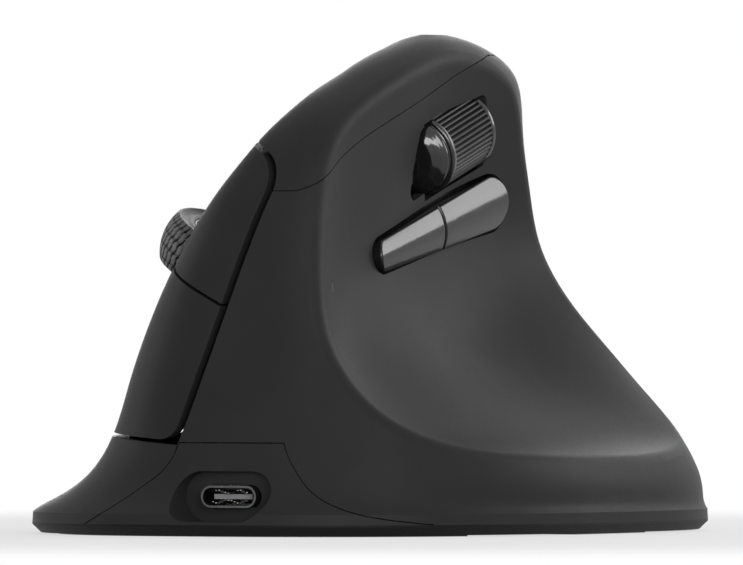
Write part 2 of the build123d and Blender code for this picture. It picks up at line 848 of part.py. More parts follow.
# Inner frame: a sloping plate on two legs, with the ears of the hinge pin and the cradle
frame_out = board_out - board_thickness
cradle_outer = wheel_width / 2 + cradle_gap + cradle_wall
cradle_ear_low = cradle_outer + shaft_clearance + knuckle_gap
cradle_ear = cradle_pin_reach - knuckle_gap
frame_up = max(ear_high + ear_thickness, cradle_ear_low + cradle_ear)
disc_chord = sqrt(wheel_radius ** 2 - frame_out ** 2)
pivot_ears = [ear_low, ear_mid, ear_high]
cradle_ears = [cradle_ear_low, -cradle_ear_low - cradle_ear]
leg_foot_top = grip_point(-frame_down + leg_width / 2, frame_out - frame_thickness / 2)
leg_tip = grip_point(-frame_down, frame_out)
front_leg_y = wheel_y - frame_front
rear_leg_y = wheel_y + frame_rear - leg_width
with BuildPart() as inner_frame:
    with BuildSketch(grip_plane.offset(frame_out)):
        with Locations(((frame_front - frame_rear) / 2, (frame_up - frame_down) / 2)):
            Rectangle(frame_front + frame_rear, frame_up + frame_down)
        Rectangle(
            2 * (disc_chord + wheel_end_gap), wheel_width + 2 * wheel_side_gap, mode=Mode.SUBTRACT
        )
    extrude(amount=-frame_thickness)
    for ear in pivot_ears:
        with BuildSketch(axle_plane.offset(ear)):
            with BuildLine():
                Polyline(
                    (pivot_forward - knuckle_radius, -frame_out),
                    (pivot_forward - knuckle_radius, -pivot_out),
                    (pivot_forward + knuckle_radius, -pivot_out),
                    (pivot_forward + 2 * knuckle_radius, -frame_out),
                    close=True,
                )
            make_face()
            with Locations((pivot_forward, -pivot_out)):
                Circle(knuckle_radius)
        extrude(amount=ear_thickness)
    with BuildSketch(axle_plane.offset(ear_low)):
        with Locations((pivot_forward, -frame_out + frame_thickness / 2)):
            Rectangle(2 * knuckle_radius, frame_thickness)
    extrude(amount=-ear_low - frame_down)
    for ear in cradle_ears:
        with BuildSketch(axle_plane.offset(ear)):
            with BuildLine():
                Polyline(
                    (-cradle_pivot_back - knuckle_radius, -frame_out),
                    (-cradle_pivot_back - knuckle_radius, -cradle_pivot_out),
                    (-cradle_pivot_back + knuckle_radius, -cradle_pivot_out),
                    (-cradle_pivot_back + knuckle_radius, -frame_out),
                    close=True,
                )
            make_face()
            with Locations((-cradle_pivot_back, -cradle_pivot_out)):
                Circle(knuckle_radius)
        extrude(amount=cradle_ear)
    for leg_y in (front_leg_y, rear_leg_y):
        with BuildSketch(Plane.XZ.offset(-leg_y)):
            with BuildLine():
                Polyline(
                    (leg_outer_x, cup_top),
                    (leg_inner_x, cup_top),
                    leg_foot_top,
                    leg_tip,
                    close=True,
                )
            make_face()
        extrude(amount=-leg_width)
        with BuildSketch(Plane.XY.offset(cup_top)):
            with Locations(((leg_outer_x + leg_inner_x) / 2, leg_y + leg_width / 2)):
                Circle(screw_radius - screw_bite)
        extrude(amount=screw_length, mode=Mode.SUBTRACT)
    with BuildSketch(axle_plane.offset(-overrun)):
        with Locations((pivot_forward, -pivot_out)):
            Circle(pin_radius)
        with Locations((-cradle_pivot_back, -cradle_pivot_out)):
            Circle(cradle_pin_radius + shaft_clearance)
    extrude(amount=2 * overrun, mode=Mode.SUBTRACT)
inner_frame.part.label = "inner_frame"
export_step(inner_frame.part, "parts/inner_frame.step")

# Button board: the circuit board on the frame, notched round the wheel and the cradle's ears
board_chord = sqrt(wheel_radius ** 2 - board_out ** 2)
ear_window = cradle_ear_low + cradle_ear + knuckle_gap
with BuildPart() as button_board:
    with BuildSketch(grip_plane.offset(board_out)):
        with Locations(((board_front - board_rear) / 2, (board_up - board_down) / 2)):
            Rectangle(board_front + board_rear, board_up + board_down)
        with Locations((board_front, board_up)):
            Rectangle(
                2 * board_notch, 2 * (board_up - board_notch_up), mode=Mode.SUBTRACT
            )
        Rectangle(
            2 * (board_chord + knuckle_gap), wheel_width + 2 * wheel_side_gap, mode=Mode.SUBTRACT
        )
        with Locations((-cradle_pivot_back, 0)):
            Rectangle(3 * knuckle_radius, 2 * ear_window, mode=Mode.SUBTRACT)
    extrude(amount=-board_thickness)
button_board.part.label = "button_board"
export_step(button_board.part, "parts/button_board.step")

# Micro switches and their plungers
finger_switches = {"left": left_switch_up, "right": right_switch_up}
for side, switch_up in finger_switches.items():
    plunger_at = (switch_forward + plunger_forward, switch_up)
    with BuildPart() as switch:
        with BuildSketch(grip_plane.offset(board_out)):
            with Locations((switch_forward, switch_up)):
                Rectangle(switch_length, switch_width)
        extrude(amount=switch_height)
        with BuildSketch(grip_plane.offset(board_out + switch_height)):
            with Locations(plunger_at):
                Rectangle(
                    plunger_length + 2 * plunger_clearance, plunger_width + 2 * plunger_clearance
                )
        extrude(amount=-plunger_depth - plunger_rise - button_travel, mode=Mode.SUBTRACT)
    switch.part.label = f"{side}_switch"
    export_step(switch.part, f"parts/{side}_switch.step")
    with BuildPart() as plunger:
        with BuildSketch(grip_plane.offset(plunger_top)):
            with Locations(plunger_at):
                Rectangle(plunger_length, plunger_width)
        extrude(amount=-plunger_depth)
    plunger.part.label = f"{side}_switch_plunger"
    export_step(plunger.part, f"parts/{side}_switch_plunger.step")

# Scroll wheel: a moulded tyre on a spoked rim, turning with its axle
shoulder = wheel_radius - tread_crown
with BuildPart() as wheel_tyre:
    with BuildSketch(wheel_section):
        with BuildLine():
            Polyline(
                (shoulder, wheel_width / 2),
                (rim_radius, rim_width / 2),
                (rim_radius, -rim_width / 2),
                (shoulder, -wheel_width / 2),
            )
            ThreePointArc(
                (shoulder, -wheel_width / 2), (wheel_radius, 0), (shoulder, wheel_width / 2)
            )
        make_face()
    revolve(axis=wheel_line)
wheel_tyre.part.label = "wheel_tyre"
export_step(wheel_tyre.part, "parts/wheel_tyre.step")

with BuildPart() as wheel_rim:
    with BuildSketch(axle_plane.offset(-rim_width / 2)):
        Circle(rim_radius)
        Circle(rim_radius - rim_band, mode=Mode.SUBTRACT)
        Circle(hub_radius)
    extrude(amount=rim_width)
    with BuildSketch(axle_plane.offset(-spoke_depth / 2)):
        with PolarLocations((rim_radius - rim_band / 2) / 2, spoke_count):
            Rectangle(rim_radius - rim_band / 2, spoke_width)
    extrude(amount=spoke_depth)
    with BuildSketch(axle_plane.offset(-rim_width / 2)):
        Circle(wheel_axle_radius)
    extrude(amount=rim_width, mode=Mode.SUBTRACT)
wheel_rim.part.label = "wheel_rim"
export_step(wheel_rim.part, "parts/wheel_rim.step")

with BuildPart() as wheel_axle:
    with BuildSketch(axle_plane.offset(-cradle_outer - encoder_thickness)):
        Circle(wheel_axle_radius)
    extrude(amount=2 * cradle_outer + encoder_thickness)
wheel_axle.part.label = "wheel_axle"
export_step(wheel_axle.part, "parts/wheel_axle.step")

# Cradle: an open frame round the wheel that rocks on two stub pins behind it
cradle_inner = wheel_width / 2 + cradle_gap
cradle_front = wheel_radius + cradle_gap + cradle_wall
cradle_back = cradle_pivot_back + cradle_tail
cradle_middle = (cradle_inner + cradle_outer) / 2
with BuildPart() as wheel_cradle:
    with BuildSketch(grip_plane.offset(cradle_low)):
        with BuildLine():
            Polyline(
                (-cradle_back, cradle_outer),
                (cradle_front - cradle_corner, cradle_outer),
                (cradle_front, cradle_outer - cradle_corner),
                (cradle_front, -cradle_outer + cradle_corner),
                (cradle_front - cradle_corner, -cradle_outer),
                (-cradle_back, -cradle_outer),
                close=True,
            )
        make_face()
        Rectangle(2 * (wheel_radius + cradle_gap), 2 * cradle_inner, mode=Mode.SUBTRACT)
    extrude(amount=cradle_thickness)
    with BuildSketch(grip_plane.offset(cradle_low)):
        with Locations((0, cradle_middle), (0, -cradle_middle)):
            Rectangle(cradle_block, cradle_wall)
    extrude(amount=cradle_block_top - cradle_low)
    with BuildSketch(axle_plane.offset(-cradle_outer - cradle_pin_reach)):
        with Locations((-cradle_pivot_back, -cradle_pivot_out)):
            Circle(cradle_pin_radius)
    extrude(amount=2 * (cradle_outer + cradle_pin_reach))
    with BuildSketch(axle_plane.offset(-cradle_outer)):
        Circle(wheel_axle_radius + shaft_clearance)
    extrude(amount=2 * cradle_outer, mode=Mode.SUBTRACT)
wheel_cradle.part.label = "wheel_cradle"
export_step(wheel_cradle.part, "parts/wheel_cradle.step")

with BuildPart() as wheel_encoder:
    with BuildSketch(axle_plane.offset(-cradle_outer)):
        Rectangle(encoder_size, cradle_block_top - cradle_low)
        Circle(wheel_axle_radius + shaft_clearance, mode=Mode.SUBTRACT)
    extrude(amount=-encoder_thickness)
wheel_encoder.part.label = "wheel_encoder"
export_step(wheel_encoder.part, "parts/wheel_encoder.step")

# Switch under the cradle's front bar, pressed when the wheel is pushed in
with BuildPart() as wheel_switch:
    with BuildSketch(grip_plane.offset(board_out)):
        with Locations((cradle_front - cradle_wall / 2, 0)):
            Rectangle(wheel_switch_size, wheel_switch_size)
    extrude(amount=wheel_switch_height)
    with BuildSketch(grip_plane.offset(board_out + wheel_switch_height)):
        with Locations((cradle_front - cradle_wall / 2, 0)):
            Circle(tact_stem_radius)
    extrude(amount=wheel_switch_stem)
wheel_switch.part.label = "wheel_switch"
export_step(wheel_switch.part, "parts/wheel_switch.step")

# Thumb board: a small circuit board on two posts behind the side buttons
board_screw_sink = screw_radius + shaft_clearance
with BuildPart() as thumb_board:
    with BuildSketch(side_plane.offset(thumb_board_x)):
        with Locations((0, (thumb_board_up - thumb_board_down) / 2)):
            Rectangle(2 * thumb_board_half, thumb_board_up + thumb_board_down)
        with Locations(*thumb_posts):
            Circle(board_screw_sink, mode=Mode.SUBTRACT)
    extrude(amount=-thumb_board_thickness)
thumb_board.part.label = "thumb_board"
export_step(thumb_board.part, "parts/thumb_board.step")

with BuildPart() as thumb_board_screws:
    with BuildSketch(side_plane.offset(thumb_board_x - thumb_board_thickness)):
        with Locations(*thumb_posts):
            Circle(board_head_radius)
    extrude(amount=-board_head_height)
    with BuildSketch(side_plane.offset(thumb_board_x - thumb_board_thickness)):
        with Locations(*thumb_posts):
            Circle(screw_radius)
    extrude(amount=board_screw_length)
thumb_board_screws.part.label = "thumb_board_screws"
export_step(thumb_board_screws.part, "parts/thumb_board_screws.step")

# Side buttons: crowned caps with a stop flange behind the shell, each on its own push switch
side_direction = (0, cos(radians(side_slope)), sin(radians(side_slope)))
tact_top = thumb_board_x + tact_height


def side_section(along):
    """Plane across the side buttons' line, with x pointing out of the shell."""
    start = (0, side_y + along * side_direction[1], side_z + along * side_direction[2])
    return Plane(origin=start, x_dir=(1, 0, 0), z_dir=side_direction)


# The circles start on their inner side, so that the loft's seam stays clear of the visible crown
with BuildPart() as side_crown_form:
    for along, crown_radius in (
        (-side_front_reach - side_front_radius, side_crown_front),
        (side_rear_reach + side_rear_radius, side_crown_rear),
    ):
        crown_middle = side_face_x + side_crown - crown_radius
        with BuildSketch(side_section(along)):
            with Locations(Location((crown_middle, 0, 0), (0, 0, half_turn))):
                Circle(crown_radius)
    loft()


def side_button(low, high, switch_at):
    """One side button between two places along the line."""
    with BuildPart() as cap:
        extrude(side_hull(-side_clearance, 0, side_plane.offset(flange_x)), amount=overrun)
        add(side_crown_form.part, mode=Mode.INTERSECT)
        with BuildSketch(side_section(low)):
            Rectangle(overrun, overrun)
        extrude(amount=high - low, mode=Mode.INTERSECT)
        rim = cap.faces().sort_by(Axis.X)[-1].edges()
        fillet(rim, radius=side_edge_radius)
    with BuildPart() as flange:
        flange_plane = side_plane.offset(flange_x - side_flange_thickness)
        flange_outline = side_hull(side_flange, side_flange_drop, flange_plane)
        extrude(flange_outline, amount=side_flange_thickness)
        with BuildSketch(side_section(low)):
            Rectangle(overrun, overrun)
        extrude(amount=high - low, mode=Mode.INTERSECT)
    with BuildPart() as button:
        add(cap.part)
        add(flange.part)
        with BuildSketch(side_plane.offset(flange_x)):
            with Locations((switch_at, 0)):
                Circle(side_stem_radius)
        extrude(amount=tact_top + side_travel - flange_x)
    return button


forward_button = side_button(
    -side_front_reach - overrun / 2, side_split - side_split_gap / 2, forward_switch_at
)
forward_button.part.label = "forward_button"
export_step(forward_button.part, "parts/forward_button.step")
back_button = side_button(
    side_split + side_split_gap / 2, side_rear_reach + overrun / 2, back_switch_at
)
back_button.part.label = "back_button"
export_step(back_button.part, "parts/back_button.step")

side_switches = {"forward": forward_switch_at, "back": back_switch_at}
for side, switch_at in side_switches.items():
    with BuildPart() as switch:
        with BuildSketch(side_plane.offset(thumb_board_x)):
            with Locations((switch_at, 0)):
                Rectangle(tact_size, tact_size)
        extrude(amount=tact_height)
        with BuildSketch(side_plane.offset(tact_top)):
            with Locations((switch_at, 0)):
                Circle(tact_stem_radius + plunger_clearance)
        extrude(amount=-tact_stem_sunk - side_travel - tact_stem_spare, mode=Mode.SUBTRACT)
    switch.part.label = f"{side}_switch"
    export_step(switch.part, f"parts/{side}_switch.step")
    with BuildPart() as plunger:
        with BuildSketch(side_plane.offset(tact_top + side_travel)):
            with Locations((switch_at, 0)):
                Circle(tact_stem_radius)
        extrude(amount=-side_travel - tact_stem_sunk)
    plunger.part.label = f"{side}_switch_plunger"
    export_step(plunger.part, f"parts/{side}_switch_plunger.step")

# Thumb wheel: a ribbed drum between two bright rings, on an axle that climbs to the rear
drum_start = -thumb_front + thumb_hub_length + thumb_ring_thickness
drum_end = thumb_rear - thumb_ring_thickness
with BuildPart() as thumb_drum:
    with BuildSketch(thumb_section(drum_start)):
        Circle(thumb_radius)
        Circle(thumb_axle_radius, mode=Mode.SUBTRACT)
        with PolarLocations(thumb_radius, thumb_ribs):
            Circle(rib_groove, mode=Mode.SUBTRACT)
    extrude(amount=drum_end - drum_start)
thumb_drum.part.label = "thumb_drum"
export_step(thumb_drum.part, "parts/thumb_drum.step")

with BuildPart() as thumb_ring_front:
    with BuildSketch(thumb_section(-thumb_front)):
        Circle(thumb_hub_nose)
    with BuildSketch(thumb_section(drum_start - thumb_ring_thickness)):
        Circle(thumb_hub_edge)
    loft()
    with BuildSketch(thumb_section(drum_start)):
        Circle(thumb_radius + thumb_ring_proud)
    extrude(amount=-thumb_ring_thickness)
    with BuildSketch(thumb_section(-thumb_front)):
        Circle(thumb_axle_radius)
    extrude(amount=drum_start + thumb_front, mode=Mode.SUBTRACT)
thumb_ring_front.part.label = "thumb_ring_front"
export_step(thumb_ring_front.part, "parts/thumb_ring_front.step")

with BuildPart() as thumb_ring_rear:
    with BuildSketch(thumb_section(drum_end)):
        Circle(thumb_radius + thumb_ring_proud)
        Circle(thumb_axle_radius, mode=Mode.SUBTRACT)
    extrude(amount=thumb_ring_thickness)
thumb_ring_rear.part.label = "thumb_ring_rear"
export_step(thumb_ring_rear.part, "parts/thumb_ring_rear.step")

front_cheek = -thumb_front - cheek_gap - cheek_thickness
rear_cheek = thumb_rear + cheek_gap
encoder_face = rear_cheek + cheek_thickness
with BuildPart() as thumb_axle:
    with BuildSketch(thumb_section(front_cheek)):
        Circle(thumb_axle_radius)
    extrude(amount=encoder_face + thumb_encoder_thickness - front_cheek)
thumb_axle.part.label = "thumb_axle"
export_step(thumb_axle.part, "parts/thumb_axle.step")

# The bracket hangs from the shell above the slot; a bar behind the drum joins its cheeks
with BuildPart() as thumb_wheel_bracket:
    for along in (front_cheek, rear_cheek):
        with BuildSketch(thumb_section(along)):
            with BuildLine():
                Polyline(
                    (-cheek_back, bar_down),
                    (-cheek_back + bar_depth, bar_down),
                    (cheek_boss, cheek_boss),
                    (cheek_boss, -slot_half_height - cheek_step),
                    (overrun, -slot_half_height - cheek_step),
                    (overrun, -cheek_up),
                    (-cheek_roof, -cheek_up),
                    (-cheek_back, bar_down - bar_height),
                    close=True,
                )
            make_face()
            Circle(thumb_axle_radius + shaft_clearance, mode=Mode.SUBTRACT)
        extrude(amount=cheek_thickness)
    with BuildSketch(thumb_section(front_cheek)):
        with Locations((-cheek_back + bar_depth / 2, bar_down - bar_height / 2)):
            Rectangle(bar_depth, bar_height)
    extrude(amount=encoder_face - front_cheek)
    add(inner_form, mode=Mode.INTERSECT)
thumb_wheel_bracket.part.label = "thumb_wheel_bracket"
export_step(thumb_wheel_bracket.part, "parts/thumb_wheel_bracket.step")

with BuildPart() as thumb_encoder:
    with BuildSketch(thumb_section(encoder_face)):
        Rectangle(thumb_encoder_size, thumb_encoder_size)
        Circle(thumb_axle_radius + shaft_clearance, mode=Mode.SUBTRACT)
    extrude(amount=thumb_encoder_thickness)
thumb_encoder.part.label = "thumb_encoder"
export_step(thumb_encoder.part, "parts/thumb_encoder.step")

# Indicator: a light pipe through the shell in front of the side buttons
with BuildPart() as indicator_lens:
    with BuildSketch(Plane.YZ.offset(indicator_inner_x)):
        with Locations((indicator_y, indicator_z)):
            SlotOverall(
                indicator_height + 2 * indicator_flange,
                indicator_width + 2 * indicator_flange,
                rotation=90,
            )
    extrude(amount=overrun)
    add(inner_form, mode=Mode.INTERSECT)
with BuildPart() as indicator_stem:
    with BuildSketch(Plane.YZ.offset(indicator_inner_x)):
        with Locations((indicator_y, indicator_z)):
            SlotOverall(
                indicator_height - 2 * shaft_clearance,
                indicator_width - 2 * shaft_clearance,
                rotation=90,
            )
    extrude(amount=overrun)
    add(outer_form, mode=Mode.INTERSECT)
with BuildPart() as indicator_whole:
    add(indicator_lens.part)
    add(indicator_stem.part)
indicator_whole.part.label = "indicator_lens"
export_step(indicator_whole.part, "parts/indicator_lens.step")

# Main board on the base plate, with the port's tab at its front edge
main_top = port_z - usb_height / 2
main_bottom = main_top - main_thickness
board_screw_points = [
    (main_left + board_screw_inset, main_front + board_screw_inset),
    (main_right - board_screw_inset, main_front + board_screw_inset),
    (main_left + board_screw_inset, main_rear - board_screw_inset),
    (main_right - board_screw_inset, main_rear - board_screw_inset),
]
with BuildPart() as main_board:
    with BuildSketch(Plane.XY.offset(main_bottom)):
        with Locations(((main_left + main_right) / 2, (main_front + main_rear) / 2)):
            RectangleRounded(main_right - main_left, main_rear - main_front, main_corner)
        with Locations((port_x, main_front)):
            Rectangle(usb_tab_width, 2 * usb_tab_length)
        with Locations((sensor_x, sensor_y)):
            Circle(lens_radius + lens_gap, mode=Mode.SUBTRACT)
        with Locations(*board_screw_points):
            Circle(board_screw_sink, mode=Mode.SUBTRACT)
    extrude(amount=main_thickness)
main_board.part.label = "main_board"
export_step(main_board.part, "parts/main_board.step")

with BuildPart() as board_screws:
    with BuildSketch(Plane.XY.offset(main_top)):
        with Locations(*board_screw_points):
            Circle(board_head_radius)
    extrude(amount=board_head_height)
    with BuildSketch(Plane.XY.offset(main_top)):
        with Locations(*board_screw_points):
            Circle(screw_radius)
    extrude(amount=-board_screw_length)
board_screws.part.label = "board_screws"
export_step(board_screws.part, "parts/board_screws.step")

# Parts on the main board: name, place as shares of its length and width, and size
main_width = main_right - main_left
main_length = main_rear - main_front
on_board = [
    ("main_chip", chip_share, chip_size, chip_size, chip_height),
    ("radio_module", radio_share, radio_width, radio_length, radio_height),
    ("battery_plug", plug_share, plug_width, plug_length, plug_height),
]
for name, share, width, length, height in on_board:
    with BuildPart() as piece:
        with BuildSketch(Plane.XY.offset(main_top)):
            with Locations((main_left + share[0] * main_width, main_front + share[1] * main_length)):
                Rectangle(width, length)
        extrude(amount=height)
    piece.part.label = name
    export_step(piece.part, f"parts/{name}.step")

# Optical sensor on the board, and the clear lens plate between board and base plate
with BuildPart() as sensor_chip:
    with BuildSketch(Plane.XY.offset(main_top)):
        with Locations((sensor_x, sensor_y)):
            Rectangle(sensor_length, sensor_width)
    extrude(amount=sensor_height)
sensor_chip.part.label = "sensor_chip"
export_step(sensor_chip.part, "parts/sensor_chip.step")

with BuildPart() as sensor_lens:
    with BuildSketch(Plane.XY.offset(shell_bottom)):
        with Locations((sensor_x, sensor_y)):
            RectangleRounded(lens_length, lens_width, lens_radius)
    extrude(amount=lens_plate)
    with BuildSketch(Plane.XY.offset(shell_bottom - lens_drop)):
        with Locations((sensor_x, sensor_y)):
            Circle(lens_radius)
    extrude(amount=main_top - shell_bottom + lens_drop)
sensor_lens.part.label = "sensor_lens"
export_step(sensor_lens.part, "parts/sensor_lens.step")

# Charging port: the steel shell with its contact tongue
usb_front_y = recess_floor_y - usb_proud
with BuildPart() as usb_shell:
    with BuildSketch(Plane.XZ.offset(-usb_front_y)):
        with Locations((port_x, port_z)):
            SlotOverall(usb_width, usb_height)
            SlotOverall(usb_width - 2 * usb_skin, usb_height - 2 * usb_skin, mode=Mode.SUBTRACT)
    extrude(amount=-usb_length)
usb_shell.part.label = "usb_shell"
export_step(usb_shell.part, "parts/usb_shell.step")

with BuildPart() as usb_tongue:
    with BuildSketch(Plane.XZ.offset(-usb_front_y - usb_length)):
        with Locations((port_x, port_z)):
            SlotOverall(usb_width - 2 * usb_skin, usb_height - 2 * usb_skin)
    extrude(amount=tongue_back)
    with BuildSketch(Plane.XZ.offset(-usb_front_y - usb_length)):
        with Locations((port_x, port_z)):
            Rectangle(tongue_width, tongue_thickness)
    extrude(amount=tongue_back + tongue_length)
usb_tongue.part.label = "usb_tongue"
export_step(usb_tongue.part, "parts/usb_tongue.step")

# Battery on the base plate, inside a low fence
with BuildPart() as battery:
    with BuildSketch(Plane.XY.offset(shell_bottom)):
        with Locations((battery_x, battery_y)):
            RectangleRounded(battery_width, battery_length, fence_thickness)
    extrude(amount=battery_height)
battery.part.label = "battery"
export_step(battery.part, "parts/battery.step")

# Base plate with its screw cups, board posts, openings and the feet's recesses
leg_screws = [
    ((leg_outer_x + leg_inner_x) / 2, front_leg_y + leg_width / 2),
    ((leg_outer_x + leg_inner_x) / 2, rear_leg_y + leg_width / 2),
]
screw_points = palm_screws + thumb_screws + leg_screws
head_top = foot_proud + screw_head_sunk + screw_head_height


def base_outline(inset, height):
    """The base's outline at one height, drawn in by the inset."""
    with BuildSketch(Plane.XY.offset(height)) as outline:
        with BuildLine():
            Spline(*body_outline(base_shares, inset), periodic=True)
        make_face()
    return outline.sketch


with BuildPart() as base_plate:
    add(base_outline(base_chamfer, foot_proud))
    add(base_outline(0, foot_proud + base_chamfer))
    loft(ruled=True)
    add(base_outline(0, foot_proud + base_chamfer))
    extrude(amount=base_thickness - base_chamfer)
    with BuildSketch(Plane.XY.offset(shell_bottom)):
        with Locations(*screw_points):
            Circle(cup_radius)
    extrude(amount=cup_height)
    with BuildSketch(Plane.XY.offset(shell_bottom)):
        with Locations(*board_screw_points):
            Circle(board_post_radius)
    extrude(amount=main_bottom - shell_bottom)
    with BuildSketch(Plane.XY.offset(shell_bottom)):
        with Locations((battery_x, battery_y)):
            Rectangle(
                battery_width + 2 * fence_gap + 2 * fence_thickness,
                battery_length + 2 * fence_gap + 2 * fence_thickness,
            )
            Rectangle(
                battery_width + 2 * fence_gap, battery_length + 2 * fence_gap, mode=Mode.SUBTRACT
            )
    extrude(amount=fence_height)
    with BuildSketch(Plane.XY):
        with Locations(*screw_points):
            Circle(screw_radius + shaft_clearance)
        with Locations((sensor_x, sensor_y)):
            Circle(lens_window)
        with Locations((mode_x, mode_y)):
            Rectangle(mode_length + 2 * mode_travel + 2 * mode_gap, mode_width + 2 * mode_gap)
        with Locations((pair_x, pair_y)):
            Circle(pair_radius + pair_gap)
    extrude(amount=overrun, mode=Mode.SUBTRACT)
    with BuildSketch(Plane.XY):
        with Locations(*screw_points):
            Circle(screw_head_radius + shaft_clearance)
    extrude(amount=head_top, mode=Mode.SUBTRACT)
    with BuildSketch(Plane.XY.offset(shell_bottom - pair_pocket)):
        with Locations((pair_x, pair_y)):
            Circle(pair_radius + pair_flange + pair_gap)
    extrude(amount=overrun, mode=Mode.SUBTRACT)
    with BuildSketch(Plane.XY.offset(main_top - board_screw_length - board_hole_spare)):
        with Locations(*board_screw_points):
            Circle(screw_radius - screw_bite)
    extrude(amount=overrun, mode=Mode.SUBTRACT)

# Glide feet: four strips of one band round the base, each set in a recess
foot_boxes = {
    "front": (0, -half_length - foot_end_cut, overrun, 2 * half_length),
    "rear": (0, half_length + foot_end_cut, overrun, 2 * half_length),
    "thumb": (overrun / 2, 0, overrun, 2 * foot_side_cut),
    "palm": (-overrun / 2, 0, overrun, 2 * foot_side_cut),
}


def foot_strip(box, grow, height):
    """One strip of the band, cut out by a box and grown on all sides."""
    with BuildPart() as strip:
        with BuildSketch(Plane.XY):
            with BuildLine():
                Spline(*body_outline(base_shares, foot_inset - grow), periodic=True)
            make_face()
            with BuildLine():
                Spline(*body_outline(base_shares, foot_inset + foot_band + grow), periodic=True)
            make_face(mode=Mode.SUBTRACT)
            with Locations((box[0], box[1])):
                Rectangle(box[2] + 2 * grow, box[3] + 2 * grow, mode=Mode.INTERSECT)
        extrude(amount=height)
    return strip.part


with BuildPart() as base_plate_whole:
    add(base_plate.part)
    for box in foot_boxes.values():
        add(foot_strip(box, foot_clearance, foot_thickness), mode=Mode.SUBTRACT)
base_plate_whole.part.label = "base_plate"
export_step(base_plate_whole.part, "parts/base_plate.step")

for side, box in foot_boxes.items():
    foot = foot_strip(box, 0, foot_thickness)
    foot.label = f"glide_foot_{side}"
    export_step(foot, f"parts/glide_foot_{side}.step")

with BuildPart() as housing_screws:
    with BuildSketch(Plane.XY.offset(head_top)):
        with Locations(*screw_points):
            Circle(screw_head_radius)
    extrude(amount=-screw_head_height)
    with BuildSketch(Plane.XY.offset(head_top)):
        with Locations(*screw_points):
            Circle(screw_radius)
    extrude(amount=screw_length)
housing_screws.part.label = "housing_screws"
export_step(housing_screws.part, "parts/housing_screws.step")

# Mode switch under the board, and its slider in the base plate
knob_top = shell_bottom - mode_gap
with BuildPart() as mode_switch:
    with BuildSketch(Plane.XY.offset(main_bottom)):
        with Locations((mode_x, mode_y)):
            Rectangle(mode_body_length, mode_body_width)
            Rectangle(
                mode_stem + 2 * mode_travel + 2 * mode_gap,
                mode_stem + 2 * mode_gap,
                mode=Mode.SUBTRACT,
            )
    extrude(amount=-mode_body_height)
mode_switch.part.label = "mode_switch"
export_step(mode_switch.part, "parts/mode_switch.step")

with BuildPart() as mode_slider:
    with BuildSketch(Plane.XY.offset(foot_proud + mode_sunk)):
        with Locations((mode_x, mode_y)):
            Rectangle(mode_length, mode_width)
    extrude(amount=knob_top - foot_proud - mode_sunk)
    with BuildSketch(Plane.XY.offset(knob_top)):
        with Locations((mode_x, mode_y)):
            Rectangle(mode_stem, mode_stem)
    extrude(amount=mode_stem_rise)
mode_slider.part.label = "mode_slider"
export_step(mode_slider.part, "parts/mode_slider.step")

# Pairing button in the base plate, under its push switch
pair_face = main_bottom - pair_body_height
with BuildPart() as pair_switch:
    with BuildSketch(Plane.XY.offset(main_bottom)):
        with Locations((pair_x, pair_y)):
            Rectangle(pair_body, pair_body)
    extrude(amount=-pair_body_height)
pair_switch.part.label = "pair_switch"
export_step(pair_switch.part, "parts/pair_switch.step")

with BuildPart() as pair_button:
    with BuildSketch(Plane.XY.offset(foot_proud + mode_sunk)):
        with Locations((pair_x, pair_y)):
            Circle(pair_radius)
    extrude(amount=pair_face - pair_rest_gap - foot_proud - mode_sunk)
    with BuildSketch(Plane.XY.offset(shell_bottom - pair_pocket)):
        with Locations((pair_x, pair_y)):
            Circle(pair_radius + pair_flange)
    extrude(amount=pair_face - pair_rest_gap - shell_bottom + pair_pocket)
pair_button.part.label = "pair_button"
export_step(pair_button.part, "parts/pair_button.step")

# Flat cables from the two small boards down to the main board
cable_half = cable_thickness / 2


def flat_cable(start, end, shares, place_y):
    """A ribbon from one board down to another, its bends as shares of the way."""
    bends = [
        (start[0] + across * (end[0] - start[0]), end[1] + up * (start[1] - end[1]))
        for across, up in shares
    ]
    with BuildPart() as cable:
        with BuildSketch(Plane.XZ.offset(-place_y)):
            with BuildLine():
                Spline(start, *bends, end)
            trace(line_width=cable_thickness)
        extrude(amount=cable_width)
    return cable


button_cable_start = grip_point(-board_down + cable_half, frame_out - cable_half)
button_cable_end = (main_left + cable_width / 2, main_top + cable_half)
button_cable = flat_cable(
    button_cable_start, button_cable_end, button_cable_shares, sensor_y
)
button_cable.part.label = "button_cable"
export_step(button_cable.part, "parts/button_cable.step")

thumb_cable_start = (
    thumb_board_x - thumb_board_thickness - cable_half,
    side_z - thumb_board_down + cable_width / 2,
)
thumb_cable_end = (thumb_board_x + cable_width, main_top + cable_half)
thumb_cable = flat_cable(
    thumb_cable_start, thumb_cable_end, thumb_cable_shares, cable_width
)
thumb_cable.part.label = "thumb_cable"
export_step(thumb_cable.part, "parts/thumb_cable.step")
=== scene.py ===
"""Looks of a right-handed vertical mouse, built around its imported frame. Everything is in metres."""

import math

import bmesh
import bpy
import numpy as np
from mathutils import Matrix, Vector


